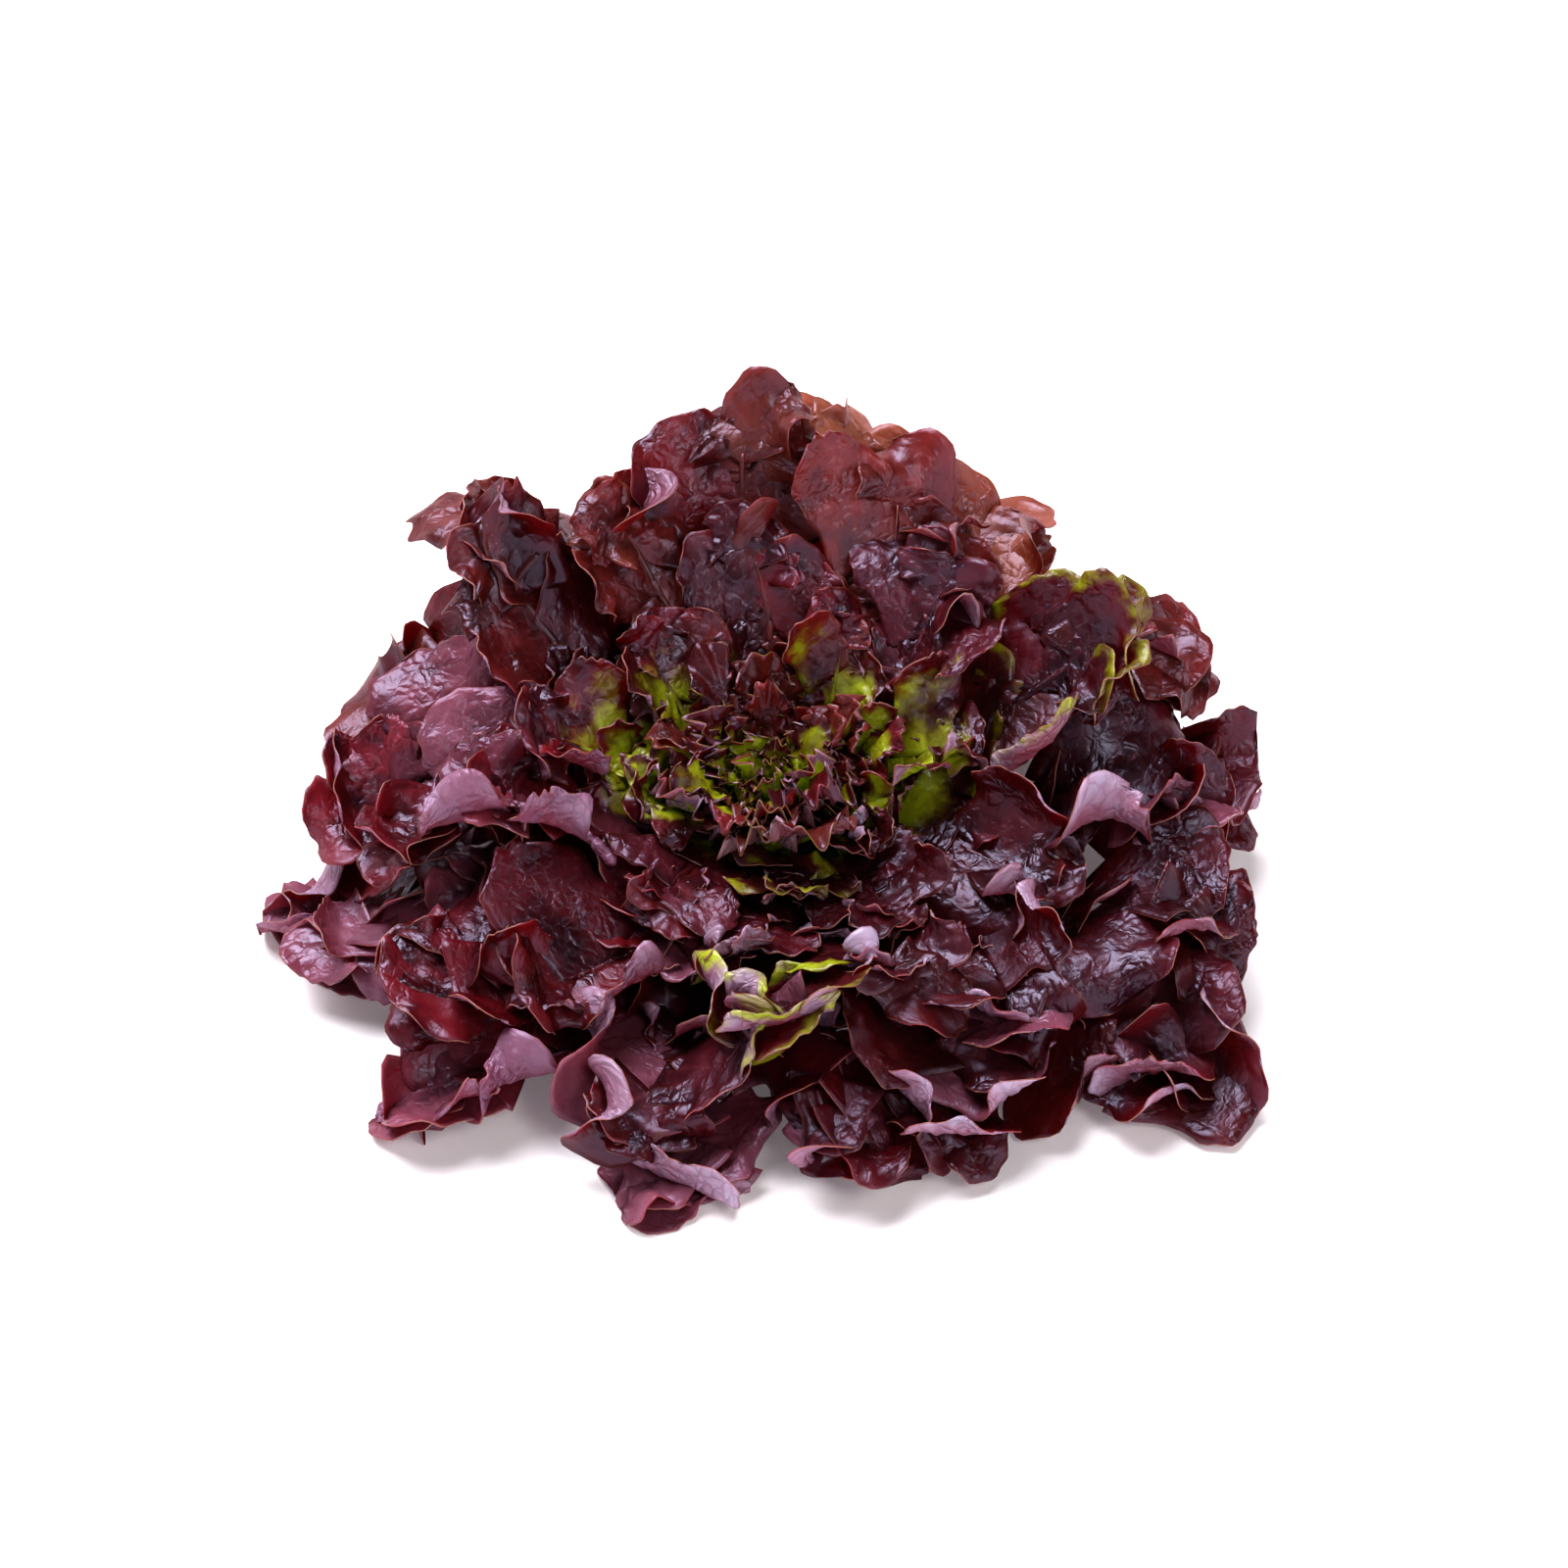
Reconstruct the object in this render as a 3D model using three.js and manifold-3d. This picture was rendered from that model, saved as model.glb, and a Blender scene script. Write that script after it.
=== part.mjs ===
// A head of sangria lettuce, a red oak-leaf lettuce, as cut and set down on its stem.
// Millimetres, +Z up. The origin is the middle of the cut stem's flat face, and -Y is the side that fell open.
// Every leaf is one closed solid of its own. It grows from the stem on a spiral, and its lobes are bent one by one,
// by seeded draws, as far as they stay clear of every other leaf. The heart is one solid of small leaves round a bud.
import * as THREE from "three";
import { mergeVertices } from "three/addons/utils/BufferGeometryUtils.js";
import Module from "manifold-3d";

const wasm = await Module();
wasm.setup();

// The stem
const STEM_CUT_RADIUS = 14;
const STEM_RADIUS = 15.5;
const STEM_TOP_RADIUS = 8;
const STEM_HEIGHT = 33;
const STEM_SIDES = 20;

// The leaves, counted from the outermost one up the stem
const LEAF_NAMES = [
  ["outer_leaf", 16],
  ["middle_leaf", 16],
  ["inner_leaf", 14],
];
const LEAF_COUNT = LEAF_NAMES.reduce((sum, [, count]) => sum + count, 0);
const FIRST_AZIMUTH = 262;
const SPIRAL_TURN = 137.508;
const LOWEST_LEAF = 6;
const HIGHEST_LEAF = 31;
const STEM_GAP = 0.9;
const BLADE_THICKNESS = 1;
const RIB_THICKNESS = 2.4;
const BASE_THICKNESS = 1.5;
// Room kept round a leaf while it is bent: the first of these that its flat form has, from other leaves, then from itself
const CLEARANCES = [0.8, 0.5, 0.3, 0.15];
const SELF_CLEARANCE = 0.1;

// The heart, a bud on the stem's top with small frilled leaves standing out of it, lowest to innermost
const HEART_BUD = [
  [0, 33.2],
  [6.5, 33.2],
  [10, 38],
  [11, 42],
  [8, 46],
  [0, 48],
];
const HEART_LEAVES = 17;
const HEART_LEAF = { root: [34.5, 42], length: [34, 16], width: [26, 14], lean: [16, 74] };
const HEART_WIDTHS = [0.2, 0.4, 0.75, 1, 0.9, 0.95, 0.5];
const HEART_COLUMNS = 5;
const HEART_FRILL = 2.6;
const HEART_TRIES = [0, 12, 24, 36];

// How the head has settled: the near side lies flatter and the far side stands up, as shares for each 100 mm from the stem,
// and broad waves, in mm and degrees, run through all its leaves together
const NEAR_SINKS = 0.8;
const FAR_GROWS = 0.62;
const FAR_DRAWS_IN = 0.14;
const SIDES_SINK = 0.15;
// How far it reaches, for each eighth of a turn from +X
const REACH = [1, 1.02, 0.97, 1.03, 0.98, 0.96, 0.82, 1];
// Nothing within this radius is moved
const STILL_RADIUS = 18;
const WAVE_HEIGHT = 7;
const WAVE_LENGTH = 88;
const FLOOR_SOFTNESS = 3;
const FLOOR_GAP = 0.4;

// How a leaf changes with age: its place on the spiral from 0, outermost, to 1, then sizes in mm and angles in degrees.
// rise is the slope where it leaves the stem and droop its slope at the tip, on the side that fell open.
const AGES = [
  { at: 0, length: 138, width: 68, base: 11, rise: 14, droop: -16, lobeTilt: 60 },
  { at: 0.35, length: 130, width: 68, base: 11, rise: 32, droop: 0, lobeTilt: 75 },
  { at: 0.6, length: 112, width: 62, base: 10, rise: 44, droop: 14, lobeTilt: 80 },
  { at: 0.8, length: 82, width: 50, base: 8, rise: 46, droop: 30, lobeTilt: 75 },
  { at: 1, length: 44, width: 34, base: 6, rise: 50, droop: 46, lobeTilt: 65 },
];

// One leaf: rows from base to tip as shares of its length, and each row's half width as a share of the greatest.
// Each side has two lobes and half of the lobe at the tip, with a sinus below each, one row higher on the right.
const ROWS = [0, 0.14, 0.27, 0.35, 0.42, 0.49, 0.56, 0.63, 0.7, 0.77, 0.84, 0.91, 0.965, 1];
const ENVELOPE = [0, 0.08, 0.28, 0.5, 0.68, 0.82, 0.92, 0.98, 1, 0.99, 0.93, 0.8, 0.58, 0.3];
const COLUMNS_A_SIDE = 2;
const FIRST_SINUS = [2, 3];
const LOBE_WIDTHS = [0.44, 0.95, 1.1, 0.97];
const LOBE_LEANS = [0, -1, 0, 1];
const LOBE_SPREAD = 0.02;
const SWEEP = 0.34;
const COLUMN_TILT = [0.45, 1.25];
// How much of its upward tilt a lobe keeps on the far side, where the leaves lean back
const FAR_LOBES_RISE = 0.3;
const CLASP = 8;
const TIP_CURL = 60;
const SWAY = 18;
const ROLL = 18;
const TRIES = [1, 0.75, -0.9, 0.5, -0.6, 0.25, -0.3];
const PASSES = 2;
const SEED = 4071;

const RAD = Math.PI / 180;

// A repeatable draw of numbers from 0 to 1
function drawer(seed) {
  let state = seed >>> 0;
  return () => {
    state = (state + 0x6d2b79f5) >>> 0;
    let t = state;
    t = Math.imul(t ^ (t >>> 15), t | 1);
    t ^= t + Math.imul(t ^ (t >>> 7), t | 61);
    return ((t ^ (t >>> 14)) >>> 0) / 4294967296;
  };
}

const mix = (a, b, t) => a + (b - a) * t;

// A leaf's sizes at its place on the spiral
function atAge(t) {
  const k = Math.max(1, AGES.findIndex((age) => age.at >= t));
  const share = (t - AGES[k - 1].at) / (AGES[k].at - AGES[k - 1].at);
  return Object.fromEntries(
    Object.keys(AGES[0]).map((key) => [key, mix(AGES[k - 1][key], AGES[k][key], share)]),
  );
}

function leafPlan(index) {
  const t = index / (LEAF_COUNT - 1);
  const azimuth = (FIRST_AZIMUTH + SPIRAL_TURN * index) % 360;
  const age = atAge(t);
  const height = mix(LOWEST_LEAF, HIGHEST_LEAF, t);
  return {
    ...age,
    index,
    azimuth,
    stemRadius: stemRadiusAt(height),
    height,
  };
}

function stemRadiusAt(z) {
  return mix(STEM_RADIUS, STEM_TOP_RADIUS, THREE.MathUtils.clamp((z - 6) / (STEM_HEIGHT - 6), 0, 1));
}

// The rib's run outward and upward, in fine steps, past the tip by as much as the lobes reach
function ribRun(plan, shape) {
  const steps = 60;
  const reach = 1.25 * plan.length;
  const run = [{ r: plan.stemRadius + STEM_GAP, z: plan.height, slope: plan.rise * RAD }];
  for (let k = 1; k <= steps; k++) {
    const u = (k / steps) * (reach / plan.length);
    const curl = shape.tipCurl * THREE.MathUtils.smoothstep(u, 0.72, 1.1);
    const slope = (mix(plan.rise, plan.droop, Math.pow(Math.min(u, 1.1), 1.25)) + curl) * RAD;
    const last = run[k - 1];
    const step = reach / steps;
    run.push({ r: last.r + step * Math.cos(slope), z: last.z + step * Math.sin(slope), slope });
  }
  return (s) => {
    const x = THREE.MathUtils.clamp((s / reach) * steps, 0, steps - 0.001);
    const k = Math.floor(x);
    const a = run[k];
    const b = run[k + 1];
    return { r: mix(a.r, b.r, x - k), z: mix(a.z, b.z, x - k), slope: mix(a.slope, b.slope, x - k) };
  };
}

// What makes a leaf its own: the tilt of each lobe, the rib's sway, the blade's roll and the tip's curl
function flatShape() {
  return { tilts: [0, 0, 0, 0, 0, 0], sway: 0, roll: 0, tipCurl: 0 };
}

// The draw of all that, as a list of small changes to a flat leaf
function drawChanges(plan) {
  const draw = drawer(SEED + plan.index * 997);
  const signed = () => 2 * draw() - 1;
  const first = draw() < 0.5 ? 1 : -1;
  const rising = mix(1, FAR_LOBES_RISE, Math.max(0, Math.sin(plan.azimuth * RAD)));
  const lobes = [5, 2, 4, 1, 3, 0].map((lobe) => {
    const way = (lobe + (lobe > 2)) % 2 ? first : -first;
    const tilt = way * plan.lobeTilt * (0.45 + 0.7 * draw());
    return (shape, share) => {
      shape.tilts[lobe] = tilt * share * (tilt * share > 0 ? rising : 1);
    };
  });
  const whole = ["sway", "roll", "tipCurl"].map((key) => {
    const most = { sway: SWAY, roll: ROLL, tipCurl: TIP_CURL }[key];
    const value = most * (key === "tipCurl" ? draw() * 1.4 - 0.9 : signed());
    return (shape, share) => {
      shape[key] = value * share;
    };
  });
  return [...whole, ...lobes];
}

// Where a row stands in its lobe on one side: how wide it is, how tilted, and which way its end leans
function lobeAt(row, side, shape) {
  const k = row - FIRST_SINUS[side];
  if (k < 0) return { width: 1, tilt: 0, lean: 0 };
  const size = LOBE_WIDTHS.length;
  const lobe = Math.min(Math.floor(k / size), 2);
  const place = k - lobe * size;
  const tilt = shape.tilts[3 * side + lobe];
  const before = lobe > 0 ? shape.tilts[3 * side + lobe - 1] : 0;
  if (lobe === 2 && place > 0) return { width: 1, tilt, lean: 0 };
  return {
    width: LOBE_WIDTHS[place],
    tilt: place ? tilt : 0.5 * (tilt + before),
    lean: LOBE_LEANS[place],
  };
}

// The middle surface of a leaf: rows of points from edge to edge
function midSurface(plan, shape) {
  const rib = ribRun(plan, shape);
  return ROWS.map((u, row) => {
    const half = mix(plan.base / 2, plan.width / 2, ENVELOPE[row]);
    const points = [];
    for (const side of [0, 1]) {
      const { width, tilt, lean } = lobeAt(row, side, shape);
      const hand = side ? 1 : -1;
      const clasp = CLASP * Math.max(0, 1 - u / 0.45);
      let across = 0;
      let lift = 0;
      for (let c = 0; c <= COLUMNS_A_SIDE; c++) {
        const v = c / COLUMNS_A_SIDE;
        if (c) {
          const angle = (tilt * COLUMN_TILT[c - 1] + clasp + hand * shape.roll * u) * RAD;
          across += ((half * width) / COLUMNS_A_SIDE) * Math.cos(angle);
          lift += ((half * width) / COLUMNS_A_SIDE) * Math.sin(angle);
        }
        const blade = THREE.MathUtils.smoothstep(u, 0.15, 0.5);
        const sweep = SWEEP * half * width * v * (1 - THREE.MathUtils.smoothstep(u, 0.72, 0.97));
        const along = u * plan.length + blade * (sweep + LOBE_SPREAD * plan.length * lean * v * v);
        points.push({ side, c, point: onShell(rib(along), plan, shape, along, hand * across, lift) });
      }
    }
    const left = points.filter((p) => p.side === 0 && p.c > 0).reverse();
    const right = points.filter((p) => p.side === 1);
    return [...left, ...right].map((p) => p.point);
  });
}

// A place given by the rib's run, the distance round the stem from it, and the lift off the blade's own surface
function onShell(place, plan, shape, along, across, lift) {
  const r = Math.max(place.r - lift * Math.sin(place.slope), 3);
  const z = place.z + lift * Math.cos(place.slope);
  const azimuth = (plan.azimuth + shape.sway * Math.pow(along / plan.length, 2)) * RAD + across / Math.max(r, place.r * 0.6);
  return settled(new THREE.Vector3(r * Math.cos(azimuth), r * Math.sin(azimuth), z));
}

// The head as it lies: an upright, even one is pressed down in front and stands up behind, waves run through it,
// and what would sink into the surface below is pressed flat just over it, in the same order
function settled(p) {
  const eighth = ((Math.atan2(p.y, p.x) / Math.PI) * 4 + 8) % 8;
  const before = Math.floor(eighth) % 8;
  const turned = THREE.MathUtils.smoothstep(eighth - before, 0, 1);
  const radius = Math.hypot(p.x, p.y);
  const free = THREE.MathUtils.smoothstep(radius, STILL_RADIUS, 2 * STILL_RADIUS);
  const out = THREE.MathUtils.clamp((radius - STILL_RADIUS) / 80, 0, 1);
  const stretch = mix(1, mix(REACH[before], REACH[(before + 1) % 8], turned), out);
  const x = p.x * stretch;
  const y = p.y * stretch * (p.y > 0 ? 1 - (FAR_DRAWS_IN * out * p.y) / 100 : 1);
  const wave = Math.sin((x / WAVE_LENGTH) * 2 * Math.PI + 0.8) + Math.cos(((y - 0.4 * x) / WAVE_LENGTH) * 2 * Math.PI);
  const upright = y > 0 ? 1 + (FAR_GROWS * y) / 100 : Math.exp((NEAR_SINKS * y) / 100);
  const share = mix(1, upright * (1 - SIDES_SINK * (x / 100) ** 2), free);
  const grown = p.z * share + WAVE_HEIGHT * out * out * wave;
  const z = FLOOR_GAP + BLADE_THICKNESS / 2 + FLOOR_SOFTNESS * Math.log(1 + Math.exp((grown - 2) / FLOOR_SOFTNESS));
  return new THREE.Vector3(x, y, z);
}

// u runs from the base to the tip, and v from the rib to the edge
function thicknessAt(u, v) {
  if (u === 0) return mix(BASE_THICKNESS, BLADE_THICKNESS, v);
  return BLADE_THICKNESS + (RIB_THICKNESS - BLADE_THICKNESS) * Math.pow(1 - u, 1.4) * Math.pow(1 - v, 2);
}

// The closed solid round a middle surface. Each cell is split the same way on both faces.
function bladeSolid(grid, extra = 0) {
  const rows = grid.length;
  const columns = grid[0].length;
  const normals = grid.map((line, i) =>
    line.map((_, j) => {
      const along = grid[Math.min(i + 1, rows - 1)][j].clone().sub(grid[Math.max(i - 1, 0)][j]);
      const over = line[Math.min(j + 1, columns - 1)].clone().sub(line[Math.max(j - 1, 0)]);
      return over.cross(along).normalize();
    }),
  );
  const positions = [];
  for (const face of [1, -1])
    grid.forEach((line, i) =>
      line.forEach((p, j) => {
        const middle = (columns - 1) / 2;
        const half = face * (thicknessAt(i / (rows - 1), Math.abs(j - middle) / middle) / 2 + extra);
        positions.push(...p.clone().addScaledVector(normals[i][j], half));
      }),
    );
  const at = (i, j, face) => face * rows * columns + i * columns + j;
  const faces = [];
  for (let i = 0; i < rows - 1; i++)
    for (let j = 0; j < columns - 1; j++) {
      const shorter = grid[i][j].distanceTo(grid[i + 1][j + 1]) < grid[i + 1][j].distanceTo(grid[i][j + 1]);
      const corners = [[i, j], [i, j + 1], [i + 1, j + 1], [i + 1, j]];
      const order = shorter ? [0, 1, 2, 0, 2, 3] : [1, 2, 3, 1, 3, 0];
      for (let k = 0; k < 6; k += 3) {
        const [a, b, c] = order.slice(k, k + 3).map((n) => corners[n]);
        faces.push(at(...a, 0), at(...b, 0), at(...c, 0));
        faces.push(at(...a, 1), at(...c, 1), at(...b, 1));
      }
    }
  const rim = [
    ...Array.from({ length: columns }, (_, j) => [0, j]),
    ...Array.from({ length: rows - 1 }, (_, i) => [i + 1, columns - 1]),
    ...Array.from({ length: columns - 1 }, (_, j) => [rows - 1, columns - 2 - j]),
    ...Array.from({ length: rows - 2 }, (_, i) => [rows - 2 - i, 0]),
  ];
  rim.forEach((a, k) => {
    const b = rim[(k + 1) % rim.length];
    faces.push(at(...a, 0), at(...a, 1), at(...b, 1), at(...a, 0), at(...b, 1), at(...b, 0));
  });
  const geometry = new THREE.BufferGeometry();
  geometry.setAttribute("position", new THREE.Float32BufferAttribute(positions, 3));
  geometry.setIndex(faces);
  return geometry;
}

function solidOf(geometry) {
  const bare = new THREE.BufferGeometry();
  bare.setAttribute("position", geometry.getAttribute("position"));
  bare.setIndex(geometry.index);
  const merged = mergeVertices(bare, 1e-4);
  return new wasm.Manifold(
    new wasm.Mesh({
      numProp: 3,
      vertProperties: merged.attributes.position.array,
      triVerts: new Uint32Array(merged.index.array),
    }),
  );
}

// Whether a leaf's own lobes pass through each other, faces and edges included
function crossesItself(geometry) {
  const at = geometry.getAttribute("position");
  const index = geometry.index.array;
  const triangles = [];
  for (let k = 0; k < index.length; k += 3) {
    const ids = [index[k], index[k + 1], index[k + 2]];
    const corners = ids.map((id) => new THREE.Vector3().fromBufferAttribute(at, id));
    triangles.push({ ids, corners, box: new THREE.Box3().setFromPoints(corners) });
  }
  triangles.sort((a, b) => a.box.min.x - b.box.min.x);
  const ray = new THREE.Ray();
  const hit = new THREE.Vector3();
  const pierces = (one, other) =>
    [0, 1, 2].some((e) => {
      const from = one.corners[e];
      const to = one.corners[(e + 1) % 3];
      ray.set(from, to.clone().sub(from).normalize());
      return ray.intersectTriangle(...other.corners, false, hit) && hit.distanceTo(from) < to.distanceTo(from);
    });
  return triangles.some((one, n) => {
    for (let k = n + 1; k < triangles.length && triangles[k].box.min.x <= one.box.max.x; k++) {
      const other = triangles[k];
      if (!one.box.intersectsBox(other.box) || one.ids.some((id) => other.ids.includes(id))) continue;
      if (pierces(one, other) || pierces(other, one)) return true;
    }
    return false;
  });
}

const group = new THREE.Group();

function addMesh(name, geometry, material) {
  const mesh = new THREE.Mesh(geometry, material);
  mesh.name = name;
  group.add(mesh);
}

const stemFlesh = new THREE.MeshStandardMaterial({ color: 0xd9d6b0, roughness: 0.6 });
const heartLeaf = new THREE.MeshStandardMaterial({ color: 0x7d8a1e, roughness: 0.4, side: THREE.DoubleSide });
const redLeaf = new THREE.MeshStandardMaterial({ color: 0x4a1019, roughness: 0.35, side: THREE.DoubleSide });

function stemGeometry() {
  const outline = [
    [0, 0],
    [STEM_CUT_RADIUS, 0],
    [STEM_RADIUS, 1.5],
    [STEM_RADIUS, 6],
    [STEM_TOP_RADIUS, STEM_HEIGHT],
    [0, STEM_HEIGHT],
  ].map(([x, y]) => new THREE.Vector2(x, y));
  return new THREE.LatheGeometry(outline, STEM_SIDES).rotateX(Math.PI / 2);
}

// One small leaf of the heart, bent up by so many degrees more than its neighbours
function heartLeafGrid(k, steeper) {
  const t = k / (HEART_LEAVES - 1);
  const [root, length, width, lean] = ["root", "length", "width", "lean"].map((key) => mix(...HEART_LEAF[key], t));
  const azimuth = FIRST_AZIMUTH + SPIRAL_TURN * (LEAF_COUNT + k);
  const draw = drawer(SEED + 31 * k);
  const phase = 2 * Math.PI * draw();
  const last = HEART_WIDTHS.length - 1;
  const curl = mix(10, -50, draw());
  let r = 3;
  let z = root;
  return HEART_WIDTHS.map((share, i) => {
    const slope = (Math.min(lean + steeper, 88) + curl * (i / last) ** 2) * RAD;
    if (i) {
      r += (length / last) * Math.cos(slope);
      z += (length / last) * Math.sin(slope);
    }
    return Array.from({ length: HEART_COLUMNS }, (_, j) => {
      const v = (2 * j) / (HEART_COLUMNS - 1) - 1;
      const lift = v * v * (2 + HEART_FRILL * Math.sin(phase + 2.3 * i + 2 * j)) * (i / last);
      const across = (v * share * width) / 2;
      const p = new THREE.Vector3(r - lift * Math.sin(slope), across, z + lift * Math.cos(slope));
      return settled(p.applyAxisAngle(new THREE.Vector3(0, 0, 1), azimuth * RAD));
    });
  });
}

// The small leaves that find room among the large ones, fused with the bud
function addHeart(leaves) {
  const outline = HEART_BUD.map(([x, y]) => new THREE.Vector2(x, y));
  const parts = [solidOf(new THREE.LatheGeometry(outline, STEM_SIDES).rotateX(Math.PI / 2))];
  const large = leaves.map((leaf) => leaf.solid);
  for (let k = 0; k < HEART_LEAVES; k++)
    for (const steeper of HEART_TRIES) {
      const grid = heartLeafGrid(k, steeper);
      if (crossesItself(bladeSolid(grid))) continue;
      const guard = solidOf(bladeSolid(grid, CLEARANCES[2]));
      if (large.some((solid) => !guard.intersect(solid).isEmpty())) continue;
      parts.push(solidOf(bladeSolid(grid)));
      break;
    }
  // The largest shell is the outer one, so what the leaves' roots close off is filled
  const shells = wasm.Manifold.union(parts).decompose();
  const mesh = shells.sort((a, b) => b.volume() - a.volume())[0].getMesh();
  const geometry = new THREE.BufferGeometry();
  geometry.setAttribute("position", new THREE.Float32BufferAttribute(mesh.vertProperties, mesh.numProp));
  geometry.setIndex([...mesh.triVerts]);
  addMesh("heart", geometry, heartLeaf);
}

function leafName(index) {
  let before = 0;
  for (const [name, count] of LEAF_NAMES) {
    if (index < before + count) return name + "_" + String(index - before + 1).padStart(2, "0");
    before += count;
  }
  throw new Error("no name for leaf " + index);
}

// All leaves start flat, in layers. Each is then bent one change at a time, in turn with the others. A change that
// would make a leaf cross itself or another is tried smaller or the other way, and left out if none of these is clear.
function bentLeaves() {
  const leaves = Array.from({ length: LEAF_COUNT }, (_, index) => {
    const plan = leafPlan(index);
    const changes = drawChanges(plan);
    return { plan, shape: flatShape(), changes, shares: changes.map(() => 0) };
  });
  const stem = solidOf(stemGeometry());
  const boxOf = (solid) => {
    const { min, max } = solid.boundingBox();
    return new THREE.Box3(new THREE.Vector3(...min), new THREE.Vector3(...max));
  };
  const settle = (leaf) => {
    leaf.grid = midSurface(leaf.plan, leaf.shape);
    leaf.solid = solidOf(bladeSolid(leaf.grid));
    leaf.box = boxOf(leaf.solid);
  };
  const isClear = (leaf) => {
    const grid = midSurface(leaf.plan, leaf.shape);
    if (crossesItself(bladeSolid(grid, SELF_CLEARANCE))) return false;
    if (!solidOf(bladeSolid(grid)).intersect(stem).isEmpty()) return false;
    const guard = solidOf(bladeSolid(grid, leaf.clearance));
    const box = boxOf(guard);
    return leaves.every((other) => other === leaf || !box.intersectsBox(other.box) || guard.intersect(other.solid).isEmpty());
  };
  leaves.forEach(settle);
  for (const leaf of leaves)
    leaf.clearance = CLEARANCES.find((clearance) => {
      leaf.clearance = clearance;
      return isClear(leaf);
    });
  for (let pass = 0; pass < PASSES; pass++)
    leaves[0].changes.forEach((_, round) => {
      for (const leaf of leaves) {
        if (leaf.shares[round] === 1) continue;
        const change = leaf.changes[round];
        const share = TRIES.find((tried) => {
          if (Math.abs(tried) <= Math.abs(leaf.shares[round])) return false;
          change(leaf.shape, tried);
          return isClear(leaf);
        });
        if (share !== undefined) leaf.shares[round] = share;
        change(leaf.shape, leaf.shares[round]);
        settle(leaf);
      }
    });
  return leaves;
}

addMesh("stem", stemGeometry(), stemFlesh);
const leaves = bentLeaves();
leaves.forEach(({ plan, grid }) => addMesh(leafName(plan.index), bladeSolid(grid), redLeaf));
addHeart(leaves);

export default group;
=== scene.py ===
import math
import bmesh
import bpy
import numpy as np
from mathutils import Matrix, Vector
from mathutils.bvhtree import BVHTree


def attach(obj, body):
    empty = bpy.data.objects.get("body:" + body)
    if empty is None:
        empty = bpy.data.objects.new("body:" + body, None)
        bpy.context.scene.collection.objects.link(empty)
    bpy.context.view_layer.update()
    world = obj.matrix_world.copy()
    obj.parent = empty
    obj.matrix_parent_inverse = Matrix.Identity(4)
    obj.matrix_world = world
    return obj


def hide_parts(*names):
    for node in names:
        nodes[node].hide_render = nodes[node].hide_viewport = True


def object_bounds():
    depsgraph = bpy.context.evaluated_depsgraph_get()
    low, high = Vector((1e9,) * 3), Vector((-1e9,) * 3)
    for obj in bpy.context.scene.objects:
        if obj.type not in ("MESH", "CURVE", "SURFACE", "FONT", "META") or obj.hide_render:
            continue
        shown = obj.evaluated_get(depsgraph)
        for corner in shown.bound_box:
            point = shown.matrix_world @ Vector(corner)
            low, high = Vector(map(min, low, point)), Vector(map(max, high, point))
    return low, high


# A head of sangria lettuce: every leaf of the frame is rebuilt finer over its own solid, in metres
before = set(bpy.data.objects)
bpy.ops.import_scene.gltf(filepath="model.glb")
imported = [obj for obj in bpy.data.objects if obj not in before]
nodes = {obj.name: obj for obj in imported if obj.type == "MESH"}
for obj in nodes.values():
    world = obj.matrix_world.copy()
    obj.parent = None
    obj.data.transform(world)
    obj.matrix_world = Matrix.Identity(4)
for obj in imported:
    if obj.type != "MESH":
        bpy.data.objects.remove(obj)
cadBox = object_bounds()
boxLow, boxHigh = np.array(cadBox[0]), np.array(cadBox[1])
millimetre = 0.001
print("frame loaded:", len(nodes), "nodes")


# Numbers between 0 and 1 that come out the same on every run
def drawer(seed):
    return np.random.default_rng(seed)


def smoothStep(low, high, value):
    t = np.clip((value - low) / (high - low), 0, 1)
    return t * t * (3 - 2 * t)


# How the solids' own grids are laid out, as the frame holds them
solidGrid = {"rows": 14, "columns": 5, "rimThickness": 1.0}


# The third corner of the triangle that runs from one vertex to the next
def thirdCorner(start, end):
    edge = next(e for e in start.link_edges if e.other_vert(start) == end)
    loop = next(l for l in edge.link_loops if l.vert == start)
    return loop.link_loop_next.link_loop_next.vert


# Goes once round a leaf's rim from one of its rungs: the rungs in order, or None where it doesn't close
def walkRim(start, end, count):
    rungs = []
    a, b = start, end
    for _ in range(count):
        rungs.append((a, b))
        if b not in [e.other_vert(a) for e in a.link_edges]:
            return None
        farEnd = thirdCorner(a, b)
        if farEnd not in [e.other_vert(a) for e in a.link_edges]:
            return None
        nearEnd = thirdCorner(a, farEnd)
        a, b = nearEnd, farEnd
    closed = (a, b) == (start, end) and len({v.index for rung in rungs for v in rung}) == 2 * count
    return rungs if closed else None


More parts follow.
